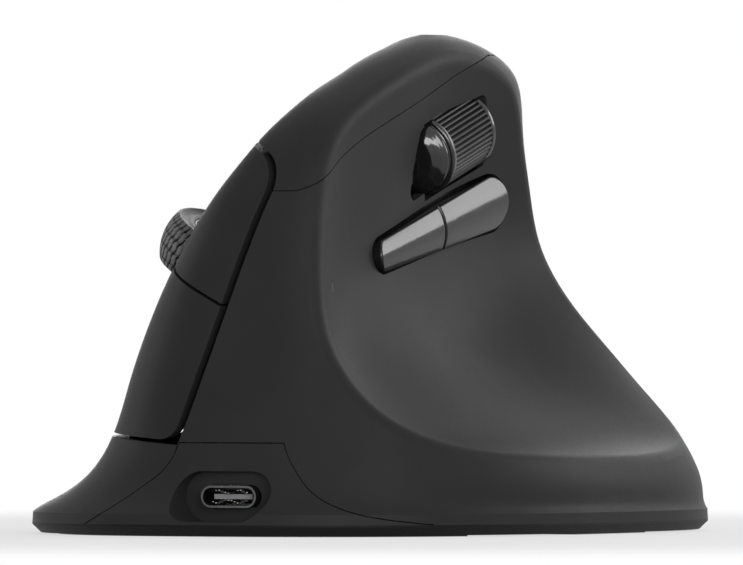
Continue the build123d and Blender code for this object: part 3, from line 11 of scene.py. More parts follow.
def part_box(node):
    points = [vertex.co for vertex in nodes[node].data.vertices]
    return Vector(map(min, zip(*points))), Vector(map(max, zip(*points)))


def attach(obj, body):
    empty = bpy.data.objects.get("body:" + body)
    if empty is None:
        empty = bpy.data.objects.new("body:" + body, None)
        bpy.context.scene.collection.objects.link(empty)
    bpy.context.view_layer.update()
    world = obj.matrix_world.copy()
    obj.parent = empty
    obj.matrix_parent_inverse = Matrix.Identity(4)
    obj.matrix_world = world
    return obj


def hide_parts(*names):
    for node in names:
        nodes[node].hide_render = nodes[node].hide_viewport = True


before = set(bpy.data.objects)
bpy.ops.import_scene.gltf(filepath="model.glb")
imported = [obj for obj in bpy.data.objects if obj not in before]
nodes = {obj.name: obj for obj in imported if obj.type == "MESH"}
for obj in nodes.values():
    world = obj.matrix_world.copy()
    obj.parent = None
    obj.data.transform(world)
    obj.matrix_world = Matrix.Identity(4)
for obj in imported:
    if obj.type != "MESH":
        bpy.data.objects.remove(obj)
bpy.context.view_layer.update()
mm = 0.001

# Base plate and glide feet.
# The real plate is a black moulded cover with a spark-eroded grain, held by six screws from below.
# The feet are smooth black low-friction strips, glued in shallow recesses round its edge.
PLATE_BLACK = (0.0050, 0.0050, 0.0053, 1)
FOOT_BLACK = (0.0090, 0.0090, 0.0095, 1)
grain_size = 0.16 * mm


def surface(name, roughness, specular=0.5, metallic=0.0):
    """A new material and its shader, with the values that are the same all over."""
    material = bpy.data.materials.new(name)
    material.use_nodes = True
    tree = material.node_tree
    shader = tree.nodes["Principled BSDF"]
    shader.inputs["Roughness"].default_value = roughness
    shader.inputs["Specular IOR Level"].default_value = specular
    shader.inputs["Metallic"].default_value = metallic
    return material, tree, shader


def speckle(tree, size, detail=3.0):
    """Noise in the piece's own space, with spots of about that size."""
    place = tree.nodes.new("ShaderNodeTexCoord")
    noise = tree.nodes.new("ShaderNodeTexNoise")
    noise.inputs["Scale"].default_value = 1 / size
    noise.inputs["Detail"].default_value = detail
    tree.links.new(place.outputs["Object"], noise.inputs["Vector"])
    return noise.outputs["Fac"]


def spread(tree, value, low, high, socket):
    """Send noise to a socket as a number between two ends."""
    scale = tree.nodes.new("ShaderNodeMapRange")
    scale.inputs["From Min"].default_value = 0.3
    scale.inputs["From Max"].default_value = 0.7
    scale.inputs["To Min"].default_value = low
    scale.inputs["To Max"].default_value = high
    tree.links.new(value, scale.inputs["Value"])
    tree.links.new(scale.outputs["Result"], socket)


def tint(tree, value, dark, light, socket, edges=(0.35, 0.65)):
    """Send noise to a socket as a colour between two ends."""
    ramp = tree.nodes.new("ShaderNodeValToRGB")
    ramp.color_ramp.elements[0].position = edges[0]
    ramp.color_ramp.elements[0].color = dark
    ramp.color_ramp.elements[1].position = edges[1]
    ramp.color_ramp.elements[1].color = light
    tree.links.new(value, ramp.inputs["Fac"])
    tree.links.new(ramp.outputs["Color"], socket)


def rough_skin(tree, shader, value, height, strength=1.0):
    """Raise the surface by noise, up to the height."""
    bump = tree.nodes.new("ShaderNodeBump")
    bump.inputs["Distance"].default_value = height
    bump.inputs["Strength"].default_value = strength
    tree.links.new(value, bump.inputs["Height"])
    tree.links.new(bump.outputs["Normal"], shader.inputs["Normal"])


def shade(colour, factor):
    """The same colour, lighter or darker."""
    return (colour[0] * factor, colour[1] * factor, colour[2] * factor, 1)


def moulded(name, colour, roughness, grain, height, specular=0.5, patch=4 * mm):
    """Moulded plastic: an even grain, slight cloudiness in colour and in gloss."""
    material, tree, shader = surface(name, roughness, specular)
    cloud = speckle(tree, patch, 2.0)
    tint(tree, cloud, shade(colour, 0.88), shade(colour, 1.12), shader.inputs["Base Color"])
    sheen = speckle(tree, grain * 3)
    spread(tree, sheen, roughness - 0.04, roughness + 0.04, shader.inputs["Roughness"])
    rough_skin(tree, shader, speckle(tree, grain), height)
    return material


def finish_nodes(material, *names):
    """Give CAD pieces their material."""
    for name in names:
        mesh = nodes[name].data
        mesh.materials.clear()
        mesh.materials.append(material)


finish_nodes(moulded("plate_grain", PLATE_BLACK, 0.55, grain_size, 0.012 * mm, 0.10), "base_plate")
finish_nodes(
    moulded("foot_film", FOOT_BLACK, 0.32, 0.5 * mm, 0.003 * mm),
    "glide_foot_front", "glide_foot_rear", "glide_foot_thumb", "glide_foot_palm",
)

# Screws.
# Six zinc-plated steel screws hold plate and shells; smaller ones hold the two boards.
# Their threads are rolled, so the steel is bright and finely drawn along its length.
STEEL = (0.52, 0.53, 0.54, 1)


def drawn_metal(name, colour, roughness, streak):
    """Metal with fine streaks in its gloss."""
    material, tree, shader = surface(name, roughness, 0.5, 1.0)
    cloud = speckle(tree, streak * 6)
    tint(tree, cloud, shade(colour, 0.85), shade(colour, 1.1), shader.inputs["Base Color"])
    spread(tree, speckle(tree, streak), roughness - 0.08, roughness + 0.1, shader.inputs["Roughness"])
    rough_skin(tree, shader, speckle(tree, streak), 0.002 * mm)
    return material


steel = drawn_metal("zinc_steel", STEEL, 0.3, 0.15 * mm)
finish_nodes(steel, "housing_screws", "board_screws", "thumb_board_screws", "button_pivot_pin")

# Circuit boards.
# The main board lies on posts on the plate; two small ones sit behind the buttons.
# Each is green solder-masked laminate with copper tracks showing faintly through the mask.
MASK_GREEN = (0.010, 0.060, 0.022, 1)
TRACK_GREEN = (0.022, 0.115, 0.045, 1)
track_pitch = 1.3 * mm

material, tree, shader = surface("solder_mask", 0.28, 0.5)
place = tree.nodes.new("ShaderNodeTexCoord")
bricks = tree.nodes.new("ShaderNodeTexBrick")
bricks.inputs["Scale"].default_value = 1 / (4 * track_pitch)
bricks.inputs["Mortar Size"].default_value = 0.03
bricks.inputs["Color1"].default_value = MASK_GREEN
bricks.inputs["Color2"].default_value = shade(MASK_GREEN, 1.2)
bricks.inputs["Mortar"].default_value = TRACK_GREEN
tree.links.new(place.outputs["Object"], bricks.inputs["Vector"])
tree.links.new(bricks.outputs["Color"], shader.inputs["Base Color"])
rough_skin(tree, shader, bricks.outputs["Fac"], 0.02 * mm, 0.5)
finish_nodes(material, "main_board", "button_board", "thumb_board")

# Chips, module and connectors on the boards.
# Black epoxy packages, a tinned shield can and a cream battery plug, all soldered down.
EPOXY = (0.012, 0.012, 0.013, 1)
TIN = (0.42, 0.43, 0.44, 1)
CREAM = (0.72, 0.68, 0.56, 1)
finish_nodes(moulded("epoxy", EPOXY, 0.5, 0.1 * mm, 0.004 * mm), "main_chip", "sensor_chip")
finish_nodes(drawn_metal("shield_can", TIN, 0.35, 0.2 * mm), "radio_module")
finish_nodes(moulded("cream_plug", CREAM, 0.4, 0.3 * mm, 0.003 * mm), "battery_plug")

# Switches and their plungers.
# Black nylon cases with off-white plungers, clipped or soldered to the boards.
SWITCH_BLACK = (0.016, 0.016, 0.017, 1)
PLUNGER_WHITE = (0.66, 0.65, 0.60, 1)
finish_nodes(
    moulded("switch_case", SWITCH_BLACK, 0.42, 0.12 * mm, 0.004 * mm),
    "left_switch", "right_switch", "forward_switch", "back_switch", "wheel_switch", "mode_switch",
    "pair_switch", "wheel_encoder", "thumb_encoder",
)
finish_nodes(
    moulded("plunger_plastic", PLUNGER_WHITE, 0.4, 0.2 * mm, 0.002 * mm),
    "left_switch_plunger", "right_switch_plunger", "forward_switch_plunger", "back_switch_plunger",
)

# Controls under the mouse.
# A polished black slider and a round pairing button, both sunk in the base plate.
CONTROL_BLACK = (0.008, 0.008, 0.008, 1)
finish_nodes(
    moulded("control_gloss", CONTROL_BLACK, 0.2, 0.6 * mm, 0.001 * mm), "mode_slider", "pair_button"
)

# Optical sensor's lens.
# Clear moulded polymer, polished on the faces that pass light.
LENS_CLEAR = (0.86, 0.90, 0.92, 1)
material, tree, shader = surface("clear_polymer", 0.08, 0.5)
shader.inputs["Transmission Weight"].default_value = 0.92
shader.inputs["IOR"].default_value = 1.49
tint(tree, speckle(tree, 2 * mm), shade(LENS_CLEAR, 0.95), LENS_CLEAR, shader.inputs["Base Color"])
spread(tree, speckle(tree, 0.8 * mm), 0.05, 0.12, shader.inputs["Roughness"])
finish_nodes(material, "sensor_lens")

# Battery and ribbons.
# A flat cell in grey film lies in its fence; amber ribbons join the boards.
FILM_GREY = (0.26, 0.28, 0.30, 1)
AMBER = (0.50, 0.28, 0.05, 1)
finish_nodes(moulded("battery_film", FILM_GREY, 0.35, 0.7 * mm, 0.01 * mm, patch=8 * mm), "battery")
finish_nodes(moulded("ribbon_film", AMBER, 0.3, 0.4 * mm, 0.003 * mm), "button_cable", "thumb_cable")

# Inner frame, cradle and bracket.
# Black glass-filled mouldings that hold the hinge pin, the scroll wheel and the thumb wheel.
FRAME_BLACK = (0.013, 0.013, 0.014, 1)
finish_nodes(
    moulded("frame_moulding", FRAME_BLACK, 0.6, 0.25 * mm, 0.01 * mm),
    "inner_frame", "wheel_cradle", "thumb_wheel_bracket",
)

# Charging port.
# A folded, nickel-plated receptacle on the board's tab, its tongue with spring contacts in front.
# It stands 1.5 mm out of the floor of the panel's stadium recess.
NICKEL = (0.10, 0.10, 0.105, 1)
TONGUE_GREY = (0.20, 0.20, 0.205, 1)
CONTACT = (0.34, 0.33, 0.31, 1)
contact_count = 12
contact_pitch = 0.5 * mm
contact_thickness = 0.12 * mm
contact_wave = 0.22 * mm
finish_nodes(drawn_metal("dark_nickel", NICKEL, 0.28, 0.2 * mm), "usb_shell")
finish_nodes(moulded("tongue_plastic", TONGUE_GREY, 0.35, 0.15 * mm, 0.003 * mm), "usb_tongue")
shell_low, shell_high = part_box("usb_shell")
port_middle = (shell_low + shell_high) / 2


def new_piece(name, vertices, faces, material, body, smooth=True):
    """A mesh piece in place, with its material, body and slot."""
    mesh = bpy.data.meshes.new(name)
    mesh.from_pydata([tuple(v) for v in vertices], [], faces)
    mesh.validate()
    mesh.update()
    mesh.polygons.foreach_set("use_smooth", [smooth] * len(mesh.polygons))
    mesh.materials.append(material)
    piece = bpy.data.objects.new(name, mesh)
    bpy.context.scene.collection.objects.link(piece)
    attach(piece, body)
    return piece


def swept_strip(centre_points, width_direction, width, thickness):
    """A bent flat strip along points in one plane, as vertices and faces."""
    vertices = []
    faces = []
    count = len(centre_points)
    for index, point in enumerate(centre_points):
        before = centre_points[max(index - 1, 0)]
        after = centre_points[min(index + 1, count - 1)]
        across = (after - before).normalized().cross(width_direction).normalized()
        for side, level in ((-1, -1), (1, -1), (1, 1), (-1, 1)):
            corner = point + width_direction * side * width / 2
            vertices.append(corner + across * level * thickness / 2)
    for index in range(count - 1):
        for corner in range(4):
            following = (corner + 1) % 4
            start = 4 * index
            faces.append((start + corner, start + following, start + 4 + following, start + 4 + corner))
    faces.append((3, 2, 1, 0))
    end = 4 * (count - 1)
    faces.append((end, end + 1, end + 2, end + 3))
    return vertices, faces


contact_metal = drawn_metal("contact_plating", CONTACT, 0.25, 0.1 * mm)
contact_vertices = []
contact_faces = []
for row in (-1, 1):
    for number in range(contact_count):
        x = port_middle.x + (number - (contact_count - 1) / 2) * contact_pitch
        points = []
        for step in range(13):
            share = step / 12
            lift = 0.72 * mm + contact_wave * math.sin(share * 2.5 * math.pi + number * 0.9)
            y = shell_low.y + 0.5 * mm + share * 3.6 * mm
            points.append(Vector((x, y, port_middle.z + row * lift)))
        vertices, faces = swept_strip(points, Vector((1, 0, 0)), 0.24 * mm, contact_thickness)
        base = len(contact_vertices)
        contact_vertices += vertices
        contact_faces += [tuple(base + corner for corner in face) for face in faces]
new_piece("port_contacts", contact_vertices, contact_faces, contact_metal, "housing")

# Scroll wheel.
# A moulded rubber tyre with a staggered tread of short bent grooves and dimples, pressed on a
# semi-gloss spoked rim, which turns with its steel axle in the cradle.
TYRE_BLACK = (0.034, 0.034, 0.035, 1)
# Painted shade: the darker colour given to the faces deep in the tyre's grooves.
GROOVE_PAINTED_SHADE = (0.0030, 0.0030, 0.0032, 1)
RIM_BLACK = (0.012, 0.012, 0.0125, 1)
grip_tilt = math.radians(64)
axle_direction = Vector((math.cos(grip_tilt), 0, math.sin(grip_tilt)))
wheel_start = Vector((0, -1, 0))
wheel_middle = Vector((-6.3, -27.0, 38.7)) * mm
wheel_radius = 13.0 * mm
tyre_width = 7.2 * mm
tread_crown = 0.9 * mm
rim_radius = 9.3 * mm
groove_depth = 0.42 * mm
groove_half_width = 0.17 * mm
groove_rows = (-2.62 * mm, -0.88 * mm, 0.88 * mm, 2.62 * mm)
grooves_per_row = 58
dimple_radius = 0.16 * mm
dimple_depth = 0.20 * mm
groove_line = [
    (-0.40 * mm, -0.74 * mm), (-0.22 * mm, -0.16 * mm), (0.22 * mm, 0.16 * mm), (0.40 * mm, 0.74 * mm),
]
groove_floor = 0.55
groove_edge = 1.45


def lathe(profile, steps, origin, axis, start, bend=None):
    """Turn a closed profile of (along, radius) points round an axis; bend moves the radii."""
    axis = axis.normalized()
    side = start - axis * start.dot(axis)
    side.normalize()
    other = axis.cross(side)
    along = np.array([p[0] for p in profile])
    radius = np.array([p[1] for p in profile])
    angles = np.arange(steps) * 2 * math.pi / steps
    radii = np.repeat(radius[None, :], steps, axis=0)
    if bend is not None:
        radii = radii - bend(angles[:, None], along[None, :], radii)
    points = (
        np.array(origin)[None, None, :]
        + along[None, :, None] * np.array(axis)[None, None, :]
        + radii[:, :, None] * (
            np.cos(angles)[:, None, None] * np.array(side)[None, None, :]
            + np.sin(angles)[:, None, None] * np.array(other)[None, None, :]
        )
    )
    count = len(profile)
    faces = []
    for step in range(steps):
        following = (step + 1) % steps
        for index in range(count):
            behind = (index + 1) % count
            faces.append((
                step * count + index, step * count + behind,
                following * count + behind, following * count + index,
            ))
    return points.reshape(-1, 3), faces


def distance_to_line(u, v, line):
    """Distance from each point to a bent line, in the unrolled tread."""
    best = np.full(np.broadcast(u, v).shape, 1.0)
    for (u0, v0), (u1, v1) in zip(line[:-1], line[1:]):
        run_u, run_v = u1 - u0, v1 - v0
        share = ((u - u0) * run_u + (v - v0) * run_v) / (run_u ** 2 + run_v ** 2)
        share = np.clip(share, 0, 1)
        best = np.minimum(best, np.hypot(u - u0 - share * run_u, v - v0 - share * run_v))
    return best


def soft_step(value, low, high):
    """0 below low, 1 above high, smooth between."""
    share = np.clip((value - low) / (high - low), 0, 1)
    return share * share * (3 - 2 * share)


def tread(angles, along, radii):
    """Depth of the grooves and dimples at each place of the tyre."""
    pitch = 2 * math.pi * wheel_radius / grooves_per_row
    around = angles * wheel_radius
    depth = np.zeros(np.broadcast(angles, radii).shape)
    for number, row in enumerate(groove_rows):
        shifted = around + (number % 2) * pitch / 2
        u = (shifted + pitch / 2) % pitch - pitch / 2
        away = distance_to_line(u, along - row, groove_line) / groove_half_width
        groove = 1 - soft_step(away, groove_floor, groove_edge)
        depth = np.maximum(depth, groove * groove_depth)
        u = shifted % pitch - pitch / 2
        dimple = 1 - soft_step(np.hypot(u, along - row), dimple_radius * 0.5, dimple_radius * 1.2)
        depth = np.maximum(depth, dimple * dimple_depth)
    on_tread = radii > wheel_radius - tread_crown - 0.02 * mm
    return np.where(on_tread, depth, 0.0)


tyre_turns = 1080
half_width = tyre_width / 2
shoulder = wheel_radius - tread_crown
crown_radius = (half_width ** 2 + tread_crown ** 2) / (2 * tread_crown)
tyre_profile = []
tread_steps = 60
for step in range(tread_steps + 1):
    along = -half_width + 0.12 * mm + (tyre_width - 0.24 * mm) * step / tread_steps
    tyre_profile.append((along, wheel_radius - crown_radius + math.sqrt(crown_radius ** 2 - along ** 2)))
side_profile = [
    (half_width, shoulder - 0.10 * mm), (half_width - 0.02 * mm, shoulder - 0.35 * mm),
    (half_width - 0.22 * mm, shoulder - 0.52 * mm), (half_width - 0.38 * mm, shoulder - 0.9 * mm),
    (half_width - 0.42 * mm, shoulder - 1.5 * mm), (half_width - 0.36 * mm, shoulder - 1.75 * mm),
    (half_width - 0.30 * mm, shoulder - 2.0 * mm), (half_width - 0.36 * mm, rim_radius + 0.3 * mm),
    (half_width - 0.55 * mm, rim_radius + 0.05 * mm), (half_width - 0.9 * mm, rim_radius),
]
tyre_profile += side_profile
tyre_profile += [(-along, radius) for along, radius in reversed(side_profile)]
vertices, faces = lathe(tyre_profile, tyre_turns, wheel_middle, axle_direction, wheel_start, tread)
tyre_material = moulded("tyre_rubber", TYRE_BLACK, 0.5, 0.12 * mm, 0.008 * mm, 0.45)
tyre = new_piece("scroll_tyre", vertices, faces, tyre_material, "wheel_body")
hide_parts("wheel_tyre")

# Painted shade in the grooves: faces more than half as deep as a groove get a rougher, darker material.
tyre.data.materials.append(moulded("groove_painted_shade", GROOVE_PAINTED_SHADE, 0.8, 0.12 * mm, 0.008 * mm, 0.1))
turns = np.arange(tyre_turns)[:, None] * 2 * math.pi / tyre_turns
profile_along = np.array([p[0] for p in tyre_profile])[None, :]
profile_radii = np.repeat(np.array([p[1] for p in tyre_profile])[None, :], tyre_turns, axis=0)
depths = tread(turns, profile_along, profile_radii)
depths = depths + np.roll(depths, -1, axis=1)
depths = (depths + np.roll(depths, -1, axis=0)) / 4
tyre.data.polygons.foreach_set("material_index", (depths > groove_depth / 2).astype(int).ravel())

# The rim's parts: band with a sunk ring on each face, hub and rounded spokes.
rim_half = 3.1 * mm
band_inner = 7.8 * mm
hub_radius = 2.6 * mm
axle_radius = 1.25 * mm
spoke_count = 6
band_turns = 144
hub_turns = 72
spoke_half = 0.85 * mm
spoke_depth = 1.5 * mm
face_profile = [
    (rim_half - 0.02 * mm, rim_radius - 0.02 * mm), (rim_half - 0.02 * mm, rim_radius - 0.2 * mm),
    (rim_half - 0.65 * mm, rim_radius - 0.28 * mm), (rim_half - 0.65 * mm, rim_radius - 0.72 * mm),
    (rim_half - 0.10 * mm, rim_radius - 0.80 * mm), (rim_half, rim_radius - 0.92 * mm),
    (rim_half, band_inner + 0.25 * mm), (rim_half - 0.12 * mm, band_inner + 0.06 * mm),
    (rim_half - 0.4 * mm, band_inner),
]
band_profile = face_profile + [(-along, radius) for along, radius in reversed(face_profile)]
vertices, faces = lathe(band_profile, band_turns, wheel_middle, axle_direction, wheel_start)
vertices = [Vector(v) for v in vertices]
hub_face = [
    (rim_half, axle_radius + 0.05 * mm), (rim_half, hub_radius - 0.35 * mm),
    (rim_half - 0.1 * mm, hub_radius - 0.1 * mm), (rim_half - 0.35 * mm, hub_radius),
]
hub_profile = [(along, radius) for along, radius in reversed(hub_face)]
hub_profile = [(-along, radius) for along, radius in hub_face] + hub_profile
hub_vertices, hub_faces = lathe(hub_profile, hub_turns, wheel_middle, axle_direction, wheel_start)
base = len(vertices)
vertices += [Vector(v) for v in hub_vertices]
faces += [tuple(base + corner for corner in face) for face in hub_faces]
for spoke in range(spoke_count):
    angle = 2 * math.pi * spoke / spoke_count
    out = Matrix.Rotation(angle, 3, axle_direction) @ wheel_start
    wide = axle_direction.cross(out)
    base = len(vertices)
    stations = [
        (hub_radius - 0.3 * mm, 1.35), (hub_radius + 0.8 * mm, 1.0),
        (band_inner - 1.0 * mm, 0.95), (band_inner + 0.25 * mm, 1.4),
    ]
    section = [
        (-1.0, -0.8), (-0.8, -1.0), (0.8, -1.0), (1.0, -0.8),
        (1.0, 0.8), (0.8, 1.0), (-0.8, 1.0), (-1.0, 0.8),
    ]
    for reach, swell in stations:
        for across, deep in section:
            vertices.append(
                wheel_middle + out * reach + wide * across * spoke_half * swell
                + axle_direction * deep * spoke_depth
            )
    for station in range(len(stations) - 1):
        for corner in range(8):
            following = (corner + 1) % 8
            start = base + 8 * station
            faces.append((start + corner, start + following, start + 8 + following, start + 8 + corner))
    faces.append(tuple(base + corner for corner in reversed(range(8))))
    faces.append(tuple(base + 8 * (len(stations) - 1) + corner for corner in range(8)))
rim_material = moulded("rim_plastic", RIM_BLACK, 0.34, 0.3 * mm, 0.002 * mm, 0.4)
rim = new_piece("scroll_rim", vertices, faces, rim_material, "wheel_body")
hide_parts("wheel_rim")
finish_nodes(steel, "wheel_axle", "thumb_axle")


def keep_edges(piece, angle=30):
    """Shade smooth, but keep edges sharper than the angle."""
    limit = math.radians(angle)
    mesh = bmesh.new()
    mesh.from_mesh(piece.data)
    bmesh.ops.recalc_face_normals(mesh, faces=mesh.faces)
    for edge in mesh.edges:
        edge.smooth = len(edge.link_faces) == 2 and edge.calc_face_angle(0) < limit
    mesh.to_mesh(piece.data)
    mesh.free()


keep_edges(tyre, 60)
keep_edges(rim, 35)
keep_edges(bpy.data.objects["port_contacts"], 40)

# Thumb wheel.
# A black drum with fine ribs along its axis turns behind the slot, between a thin bright ring at
# the rear and a polished, stepped hub at the front. Both are moulded and pressed on the axle.
DRUM_BLACK = (0.0060, 0.0060, 0.0064, 1)
HUB_BLACK = (0.010, 0.010, 0.011, 1)
thumb_slope = math.radians(17)
thumb_direction = Vector((0, math.cos(thumb_slope), math.sin(thumb_slope)))
thumb_middle = Vector((8.9, 1.7, 56.3)) * mm
thumb_radius = 6.0 * mm
ring_radius = 6.15 * mm
thumb_axle_radius = 0.8 * mm
drum_start = -4.1 * mm
drum_end = 8.0 * mm
thumb_front = -7.3 * mm
thumb_rear = 8.9 * mm
thumb_ribs = 48
rib_height = 0.30 * mm
rib_run_out = 0.35 * mm
steps_per_rib = 12
ring_turns = 160
thumb_start = Vector((1, 0, 0))


def ribs(angles, along, radii):
    """Depth between the drum's ribs, rounded on their tops."""
    wave = np.abs(np.sin(angles * thumb_ribs / 2)) ** 0.7
    fade = soft_step(along, drum_start, drum_start + rib_run_out)
    fade = fade * soft_step(-along, -drum_end, -drum_end + rib_run_out)
    return np.where(radii > thumb_radius - 0.5 * mm, (1 - wave) * rib_height * fade, 0.0)


drum_profile = [(drum_start, thumb_axle_radius)]
for share in (0, 0.01, 0.02, 0.03, 0.25, 0.5, 0.75, 0.97, 0.98, 0.99, 1):
    drum_profile.append((drum_start + share * (drum_end - drum_start), thumb_radius))
drum_profile.append((drum_end, thumb_axle_radius))
drum_turns = thumb_ribs * steps_per_rib
vertices, faces = lathe(drum_profile, drum_turns, thumb_middle, thumb_direction, thumb_start, ribs)
drum_material = moulded("drum_plastic", DRUM_BLACK, 0.34, 0.2 * mm, 0.002 * mm, 0.10)
drum = new_piece("thumb_ribs", vertices, faces, drum_material, "thumb_wheel_body")
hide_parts("thumb_drum")
keep_edges(drum, 50)


def arc(centre, radius, start, end, steps):
    """Points of an arc in a profile, angles in degrees from the axis direction."""
    points = []
    for step in range(steps + 1):
        angle = math.radians(start + (end - start) * step / steps)
        points.append((centre[0] + radius * math.cos(angle), centre[1] + radius * math.sin(angle)))
    return points


bead = 0.45 * mm
hub_profile = [(drum_start, thumb_axle_radius), (drum_start, ring_radius - 0.1 * mm)]
hub_profile += arc((drum_start - bead, ring_radius - bead), bead, 90, 205, 12)
hub_profile += [
    (drum_start - 0.95 * mm, 5.45 * mm), (drum_start - 1.0 * mm, 5.30 * mm),
    (drum_start - 1.12 * mm, 5.35 * mm),
]
hub_profile += arc((drum_start - 1.55 * mm, 5.02 * mm), 0.55 * mm, 50, 150, 8)
for share in (0.2, 0.4, 0.6, 0.8, 1.0):
    hub_profile.append((
        drum_start - 2.1 * mm - share * 0.85 * mm,
        5.20 * mm - (5.20 - 4.0) * mm * share ** 1.6,
    ))
hub_profile += [
    (thumb_front + 0.08 * mm, 3.7 * mm), (thumb_front, 3.4 * mm), (thumb_front, thumb_axle_radius),
]
vertices, faces = lathe(hub_profile, ring_turns, thumb_middle, thumb_direction, thumb_start)
gloss = moulded("polished_black", HUB_BLACK, 0.13, 0.8 * mm, 0.0006 * mm, 0.6)
hub = new_piece("thumb_hub", vertices, faces, gloss, "thumb_wheel_body")
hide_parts("thumb_ring_front")
keep_edges(hub, 40)
ring_profile = [(drum_end, thumb_axle_radius), (drum_end, ring_radius - 0.15 * mm)]
ring_profile += arc((thumb_rear - bead, ring_radius - bead), bead, 90, 0, 8)
ring_profile += [(thumb_rear, thumb_axle_radius)]
vertices, faces = lathe(ring_profile, ring_turns, thumb_middle, thumb_direction, thumb_start)
rear_ring = new_piece("thumb_rear_ring", vertices, faces, gloss, "thumb_wheel_body")
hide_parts("thumb_ring_rear")
keep_edges(rear_ring, 40)

# Side buttons.
# Two crowned caps, moulded in black and lacquered, travel half a millimetre in the thumb shell.
LACQUER = (0.008, 0.008, 0.0085, 1)
material = moulded("side_lacquer", LACQUER, 0.18, 3 * mm, 0.0004 * mm, 0.15)
lacquer_shader = material.node_tree.nodes["Principled BSDF"]
lacquer_shader.inputs["Coat Weight"].default_value = 0.22
lacquer_shader.inputs["Coat Roughness"].default_value = 0.10
finish_nodes(material, "forward_button", "back_button")

# Shells, port panel and finger buttons.
# Thin dark grey mouldings with a soft-touch coat: a fine even grain, a wide soft sheen, and thin
# joints between the pieces. Screws from below hold the shells; the buttons rock on their pin.
COAT_GREY = (0.0260, 0.0260, 0.0270, 1)
coat_grain = 0.10 * mm


def soft_touch(name, colour):
    """Soft-touch coat: matte, cloudy in its gloss, with a grain too fine to count."""
    material, tree, shader = surface(name, 0.48, 0.05)
    cloud = speckle(tree, 9 * mm, 2.0)
    tint(tree, cloud, shade(colour, 0.95), shade(colour, 1.05), shader.inputs["Base Color"])
    spread(tree, speckle(tree, 0.35 * mm), 0.45, 0.52, shader.inputs["Roughness"])
    rough_skin(tree, shader, speckle(tree, coat_grain), 0.004 * mm, 0.6)
    return material


finish_nodes(soft_touch("soft_coat", COAT_GREY), "palm_shell", "thumb_shell", "port_panel")
finish_nodes(soft_touch("button_coat", shade(COAT_GREY, 0.92)), "left_button", "right_button")

# Indicator.
# A smoked light pipe, unlit, flush in a pin-sized slot in front of the side buttons.
SMOKE = (0.004, 0.004, 0.0045, 1)
finish_nodes(moulded("smoked_pipe", SMOKE, 0.2, 0.3 * mm, 0.001 * mm, 0.1), "indicator_lens")

# Studio.
# A pale floor that keeps the shadow near the object and runs out to white for the camera and for
# reflections, a faint soft surround, and nine large soft lamps round the object. The strongest
# two stand over its right rear, where the side buttons mirror one, and at its right front.
FLOOR_PALE = (0.82, 0.82, 0.82, 1)
floor_reach = 3.0
shadow_reach = 0.11
white_reach = 0.26
glow_near = 0.62
view_turn = math.radians(28)
pixels_per_metre = 6850
picture_width = 743
picture_height = 565
middle_pixel = (372.5, 531.5)
lens_length = 800
sensor_width = 36


def seen_or_mirrored(tree):
    """1 where the camera, a reflection or a look through glass sees the surface, else 0."""
    path = tree.nodes.new("ShaderNodeLightPath")
    value = path.outputs["Is Camera Ray"]
    for ray in ("Is Glossy Ray", "Is Transmission Ray"):
        larger = tree.nodes.new("ShaderNodeMath")
        larger.operation = "MAXIMUM"
        tree.links.new(value, larger.inputs[0])
        tree.links.new(path.outputs[ray], larger.inputs[1])
        value = larger.outputs["Value"]
    return value


floor_mesh = bpy.data.meshes.new("studio_floor")
floor_corners = [
    (-floor_reach, -floor_reach, 0), (floor_reach, -floor_reach, 0),
    (floor_reach, floor_reach, 0), (-floor_reach, floor_reach, 0),
]
floor_mesh.from_pydata(floor_corners, [], [(0, 1, 2, 3)])
floor = bpy.data.objects.new("studio_floor", floor_mesh)
bpy.context.scene.collection.objects.link(floor)
material, tree, shader = surface("floor_paper", 0.9, 0.1)
place = tree.nodes.new("ShaderNodeTexCoord")
reach = tree.nodes.new("ShaderNodeVectorMath")
reach.operation = "LENGTH"
tree.links.new(place.outputs["Object"], reach.inputs[0])
fade = tree.nodes.new("ShaderNodeMapRange")
fade.interpolation_type = "SMOOTHSTEP"
fade.inputs["From Min"].default_value = shadow_reach
fade.inputs["From Max"].default_value = white_reach
fade.inputs["To Min"].default_value = glow_near
tree.links.new(reach.outputs["Value"], fade.inputs["Value"])
seen = seen_or_mirrored(tree)
amount = tree.nodes.new("ShaderNodeMath")
amount.operation = "MULTIPLY"
tree.links.new(fade.outputs["Result"], amount.inputs[0])
tree.links.new(seen, amount.inputs[1])
white = tree.nodes.new("ShaderNodeEmission")
mix = tree.nodes.new("ShaderNodeMixShader")
tree.links.new(amount.outputs["Value"], mix.inputs["Fac"])
tree.links.new(shader.outputs["BSDF"], mix.inputs[1])
tree.links.new(white.outputs["Emission"], mix.inputs[2])
tree.links.new(mix.outputs["Shader"], tree.nodes["Material Output"].inputs["Surface"])
tint(tree, speckle(tree, 0.02), shade(FLOOR_PALE, 0.99), FLOOR_PALE, shader.inputs["Base Color"])
floor_mesh.materials.append(material)

world = bpy.data.worlds.new("studio_surround")
bpy.context.scene.world = world
world.use_nodes = True
tree = world.node_tree
soft = tree.nodes["Background"]
soft.inputs["Color"].default_value = (1, 1, 1, 1)
soft.inputs["Strength"].default_value = 0.04
backdrop = tree.nodes.new("ShaderNodeBackground")
backdrop.inputs["Color"].default_value = (1, 1, 1, 1)
backdrop.inputs["Strength"].default_value = 1.0
seen = seen_or_mirrored(tree)
mix = tree.nodes.new("ShaderNodeMixShader")
tree.links.new(seen, mix.inputs["Fac"])
tree.links.new(soft.outputs["Background"], mix.inputs[1])
tree.links.new(backdrop.outputs["Background"], mix.inputs[2])
tree.links.new(mix.outputs["Shader"], tree.nodes["World Output"].inputs["Surface"])


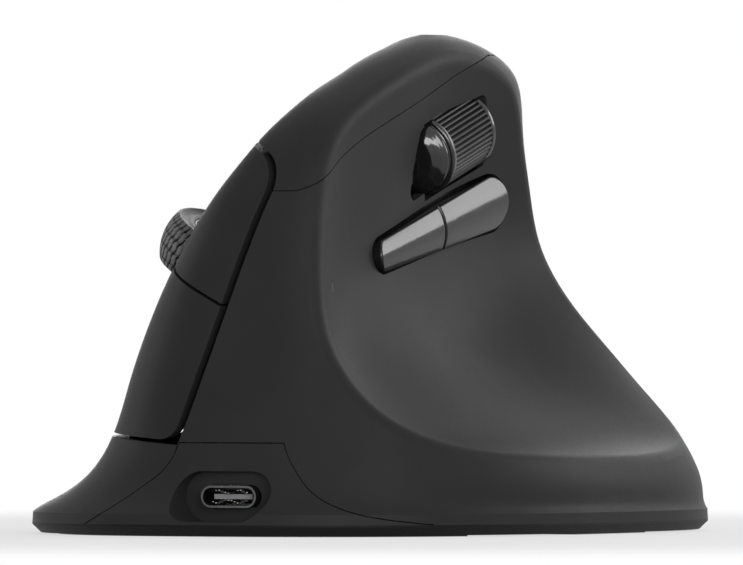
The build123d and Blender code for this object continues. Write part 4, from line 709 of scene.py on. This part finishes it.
def softbox(name, place, aim, size, power):
    """A rectangular soft lamp that looks from one place at another."""
    lamp = bpy.data.lights.new(name, "AREA")
    lamp.shape = "RECTANGLE"
    lamp.size, lamp.size_y = size
    lamp.energy = power
    stand = bpy.data.objects.new(name, lamp)
    bpy.context.scene.collection.objects.link(stand)
    stand.location = place
    stand.rotation_euler = (Vector(aim) - Vector(place)).to_track_quat("-Z", "Y").to_euler()


body_middle = (0.0, 0.0, 0.036)
lamps = (
    ("lamp_above", (0.0, 0.25, 1.0), (0.5, 0.5), 0.6),
    ("lamp_over_right", (0.62, 0.70, 0.34), (0.50, 0.40), 3.6),
    ("lamp_right", (0.95, 0.10, 0.30), (0.4, 0.4), 0.6),
    ("lamp_front_right", (0.70, -0.70, 0.25), (0.4, 0.4), 3.8),
    ("lamp_front_low", (0.35, -0.93, 0.12), (0.5, 0.2), 2.7),
    ("lamp_in_front", (-0.25, -0.95, 0.45), (0.5, 0.4), 0.5),
    ("lamp_left", (-0.95, -0.10, 0.30), (0.4, 0.4), 1.4),
    ("lamp_behind_left", (-0.45, 0.85, 0.25), (0.4, 0.4), 2.4),
    ("lamp_behind", (0.10, 0.88, 0.40), (0.6, 0.3), 0.8),
)
for name, place, size, power in lamps:
    softbox(name, place, body_middle, size, power)

back = Vector((math.sin(view_turn), -math.cos(view_turn), 0))
right = Vector((math.cos(view_turn), math.sin(view_turn), 0))
view_width = picture_width / pixels_per_metre
target = right * (picture_width / 2 - middle_pixel[0]) / pixels_per_metre
target += Vector((0, 0, (middle_pixel[1] - picture_height / 2) / pixels_per_metre))
camera_data = bpy.data.cameras.new("studio_camera")
camera_data.lens = lens_length
camera_data.sensor_width = sensor_width
camera_data.clip_end = 20
camera = bpy.data.objects.new("studio_camera", camera_data)
bpy.context.scene.collection.objects.link(camera)
camera.location = target + back * (view_width / sensor_width * lens_length)
camera.rotation_euler = (-back).to_track_quat("-Z", "Y").to_euler()
bpy.context.scene.camera = camera
bpy.context.scene.view_settings.view_transform = "Standard"

bpy.context.view_layer.update()
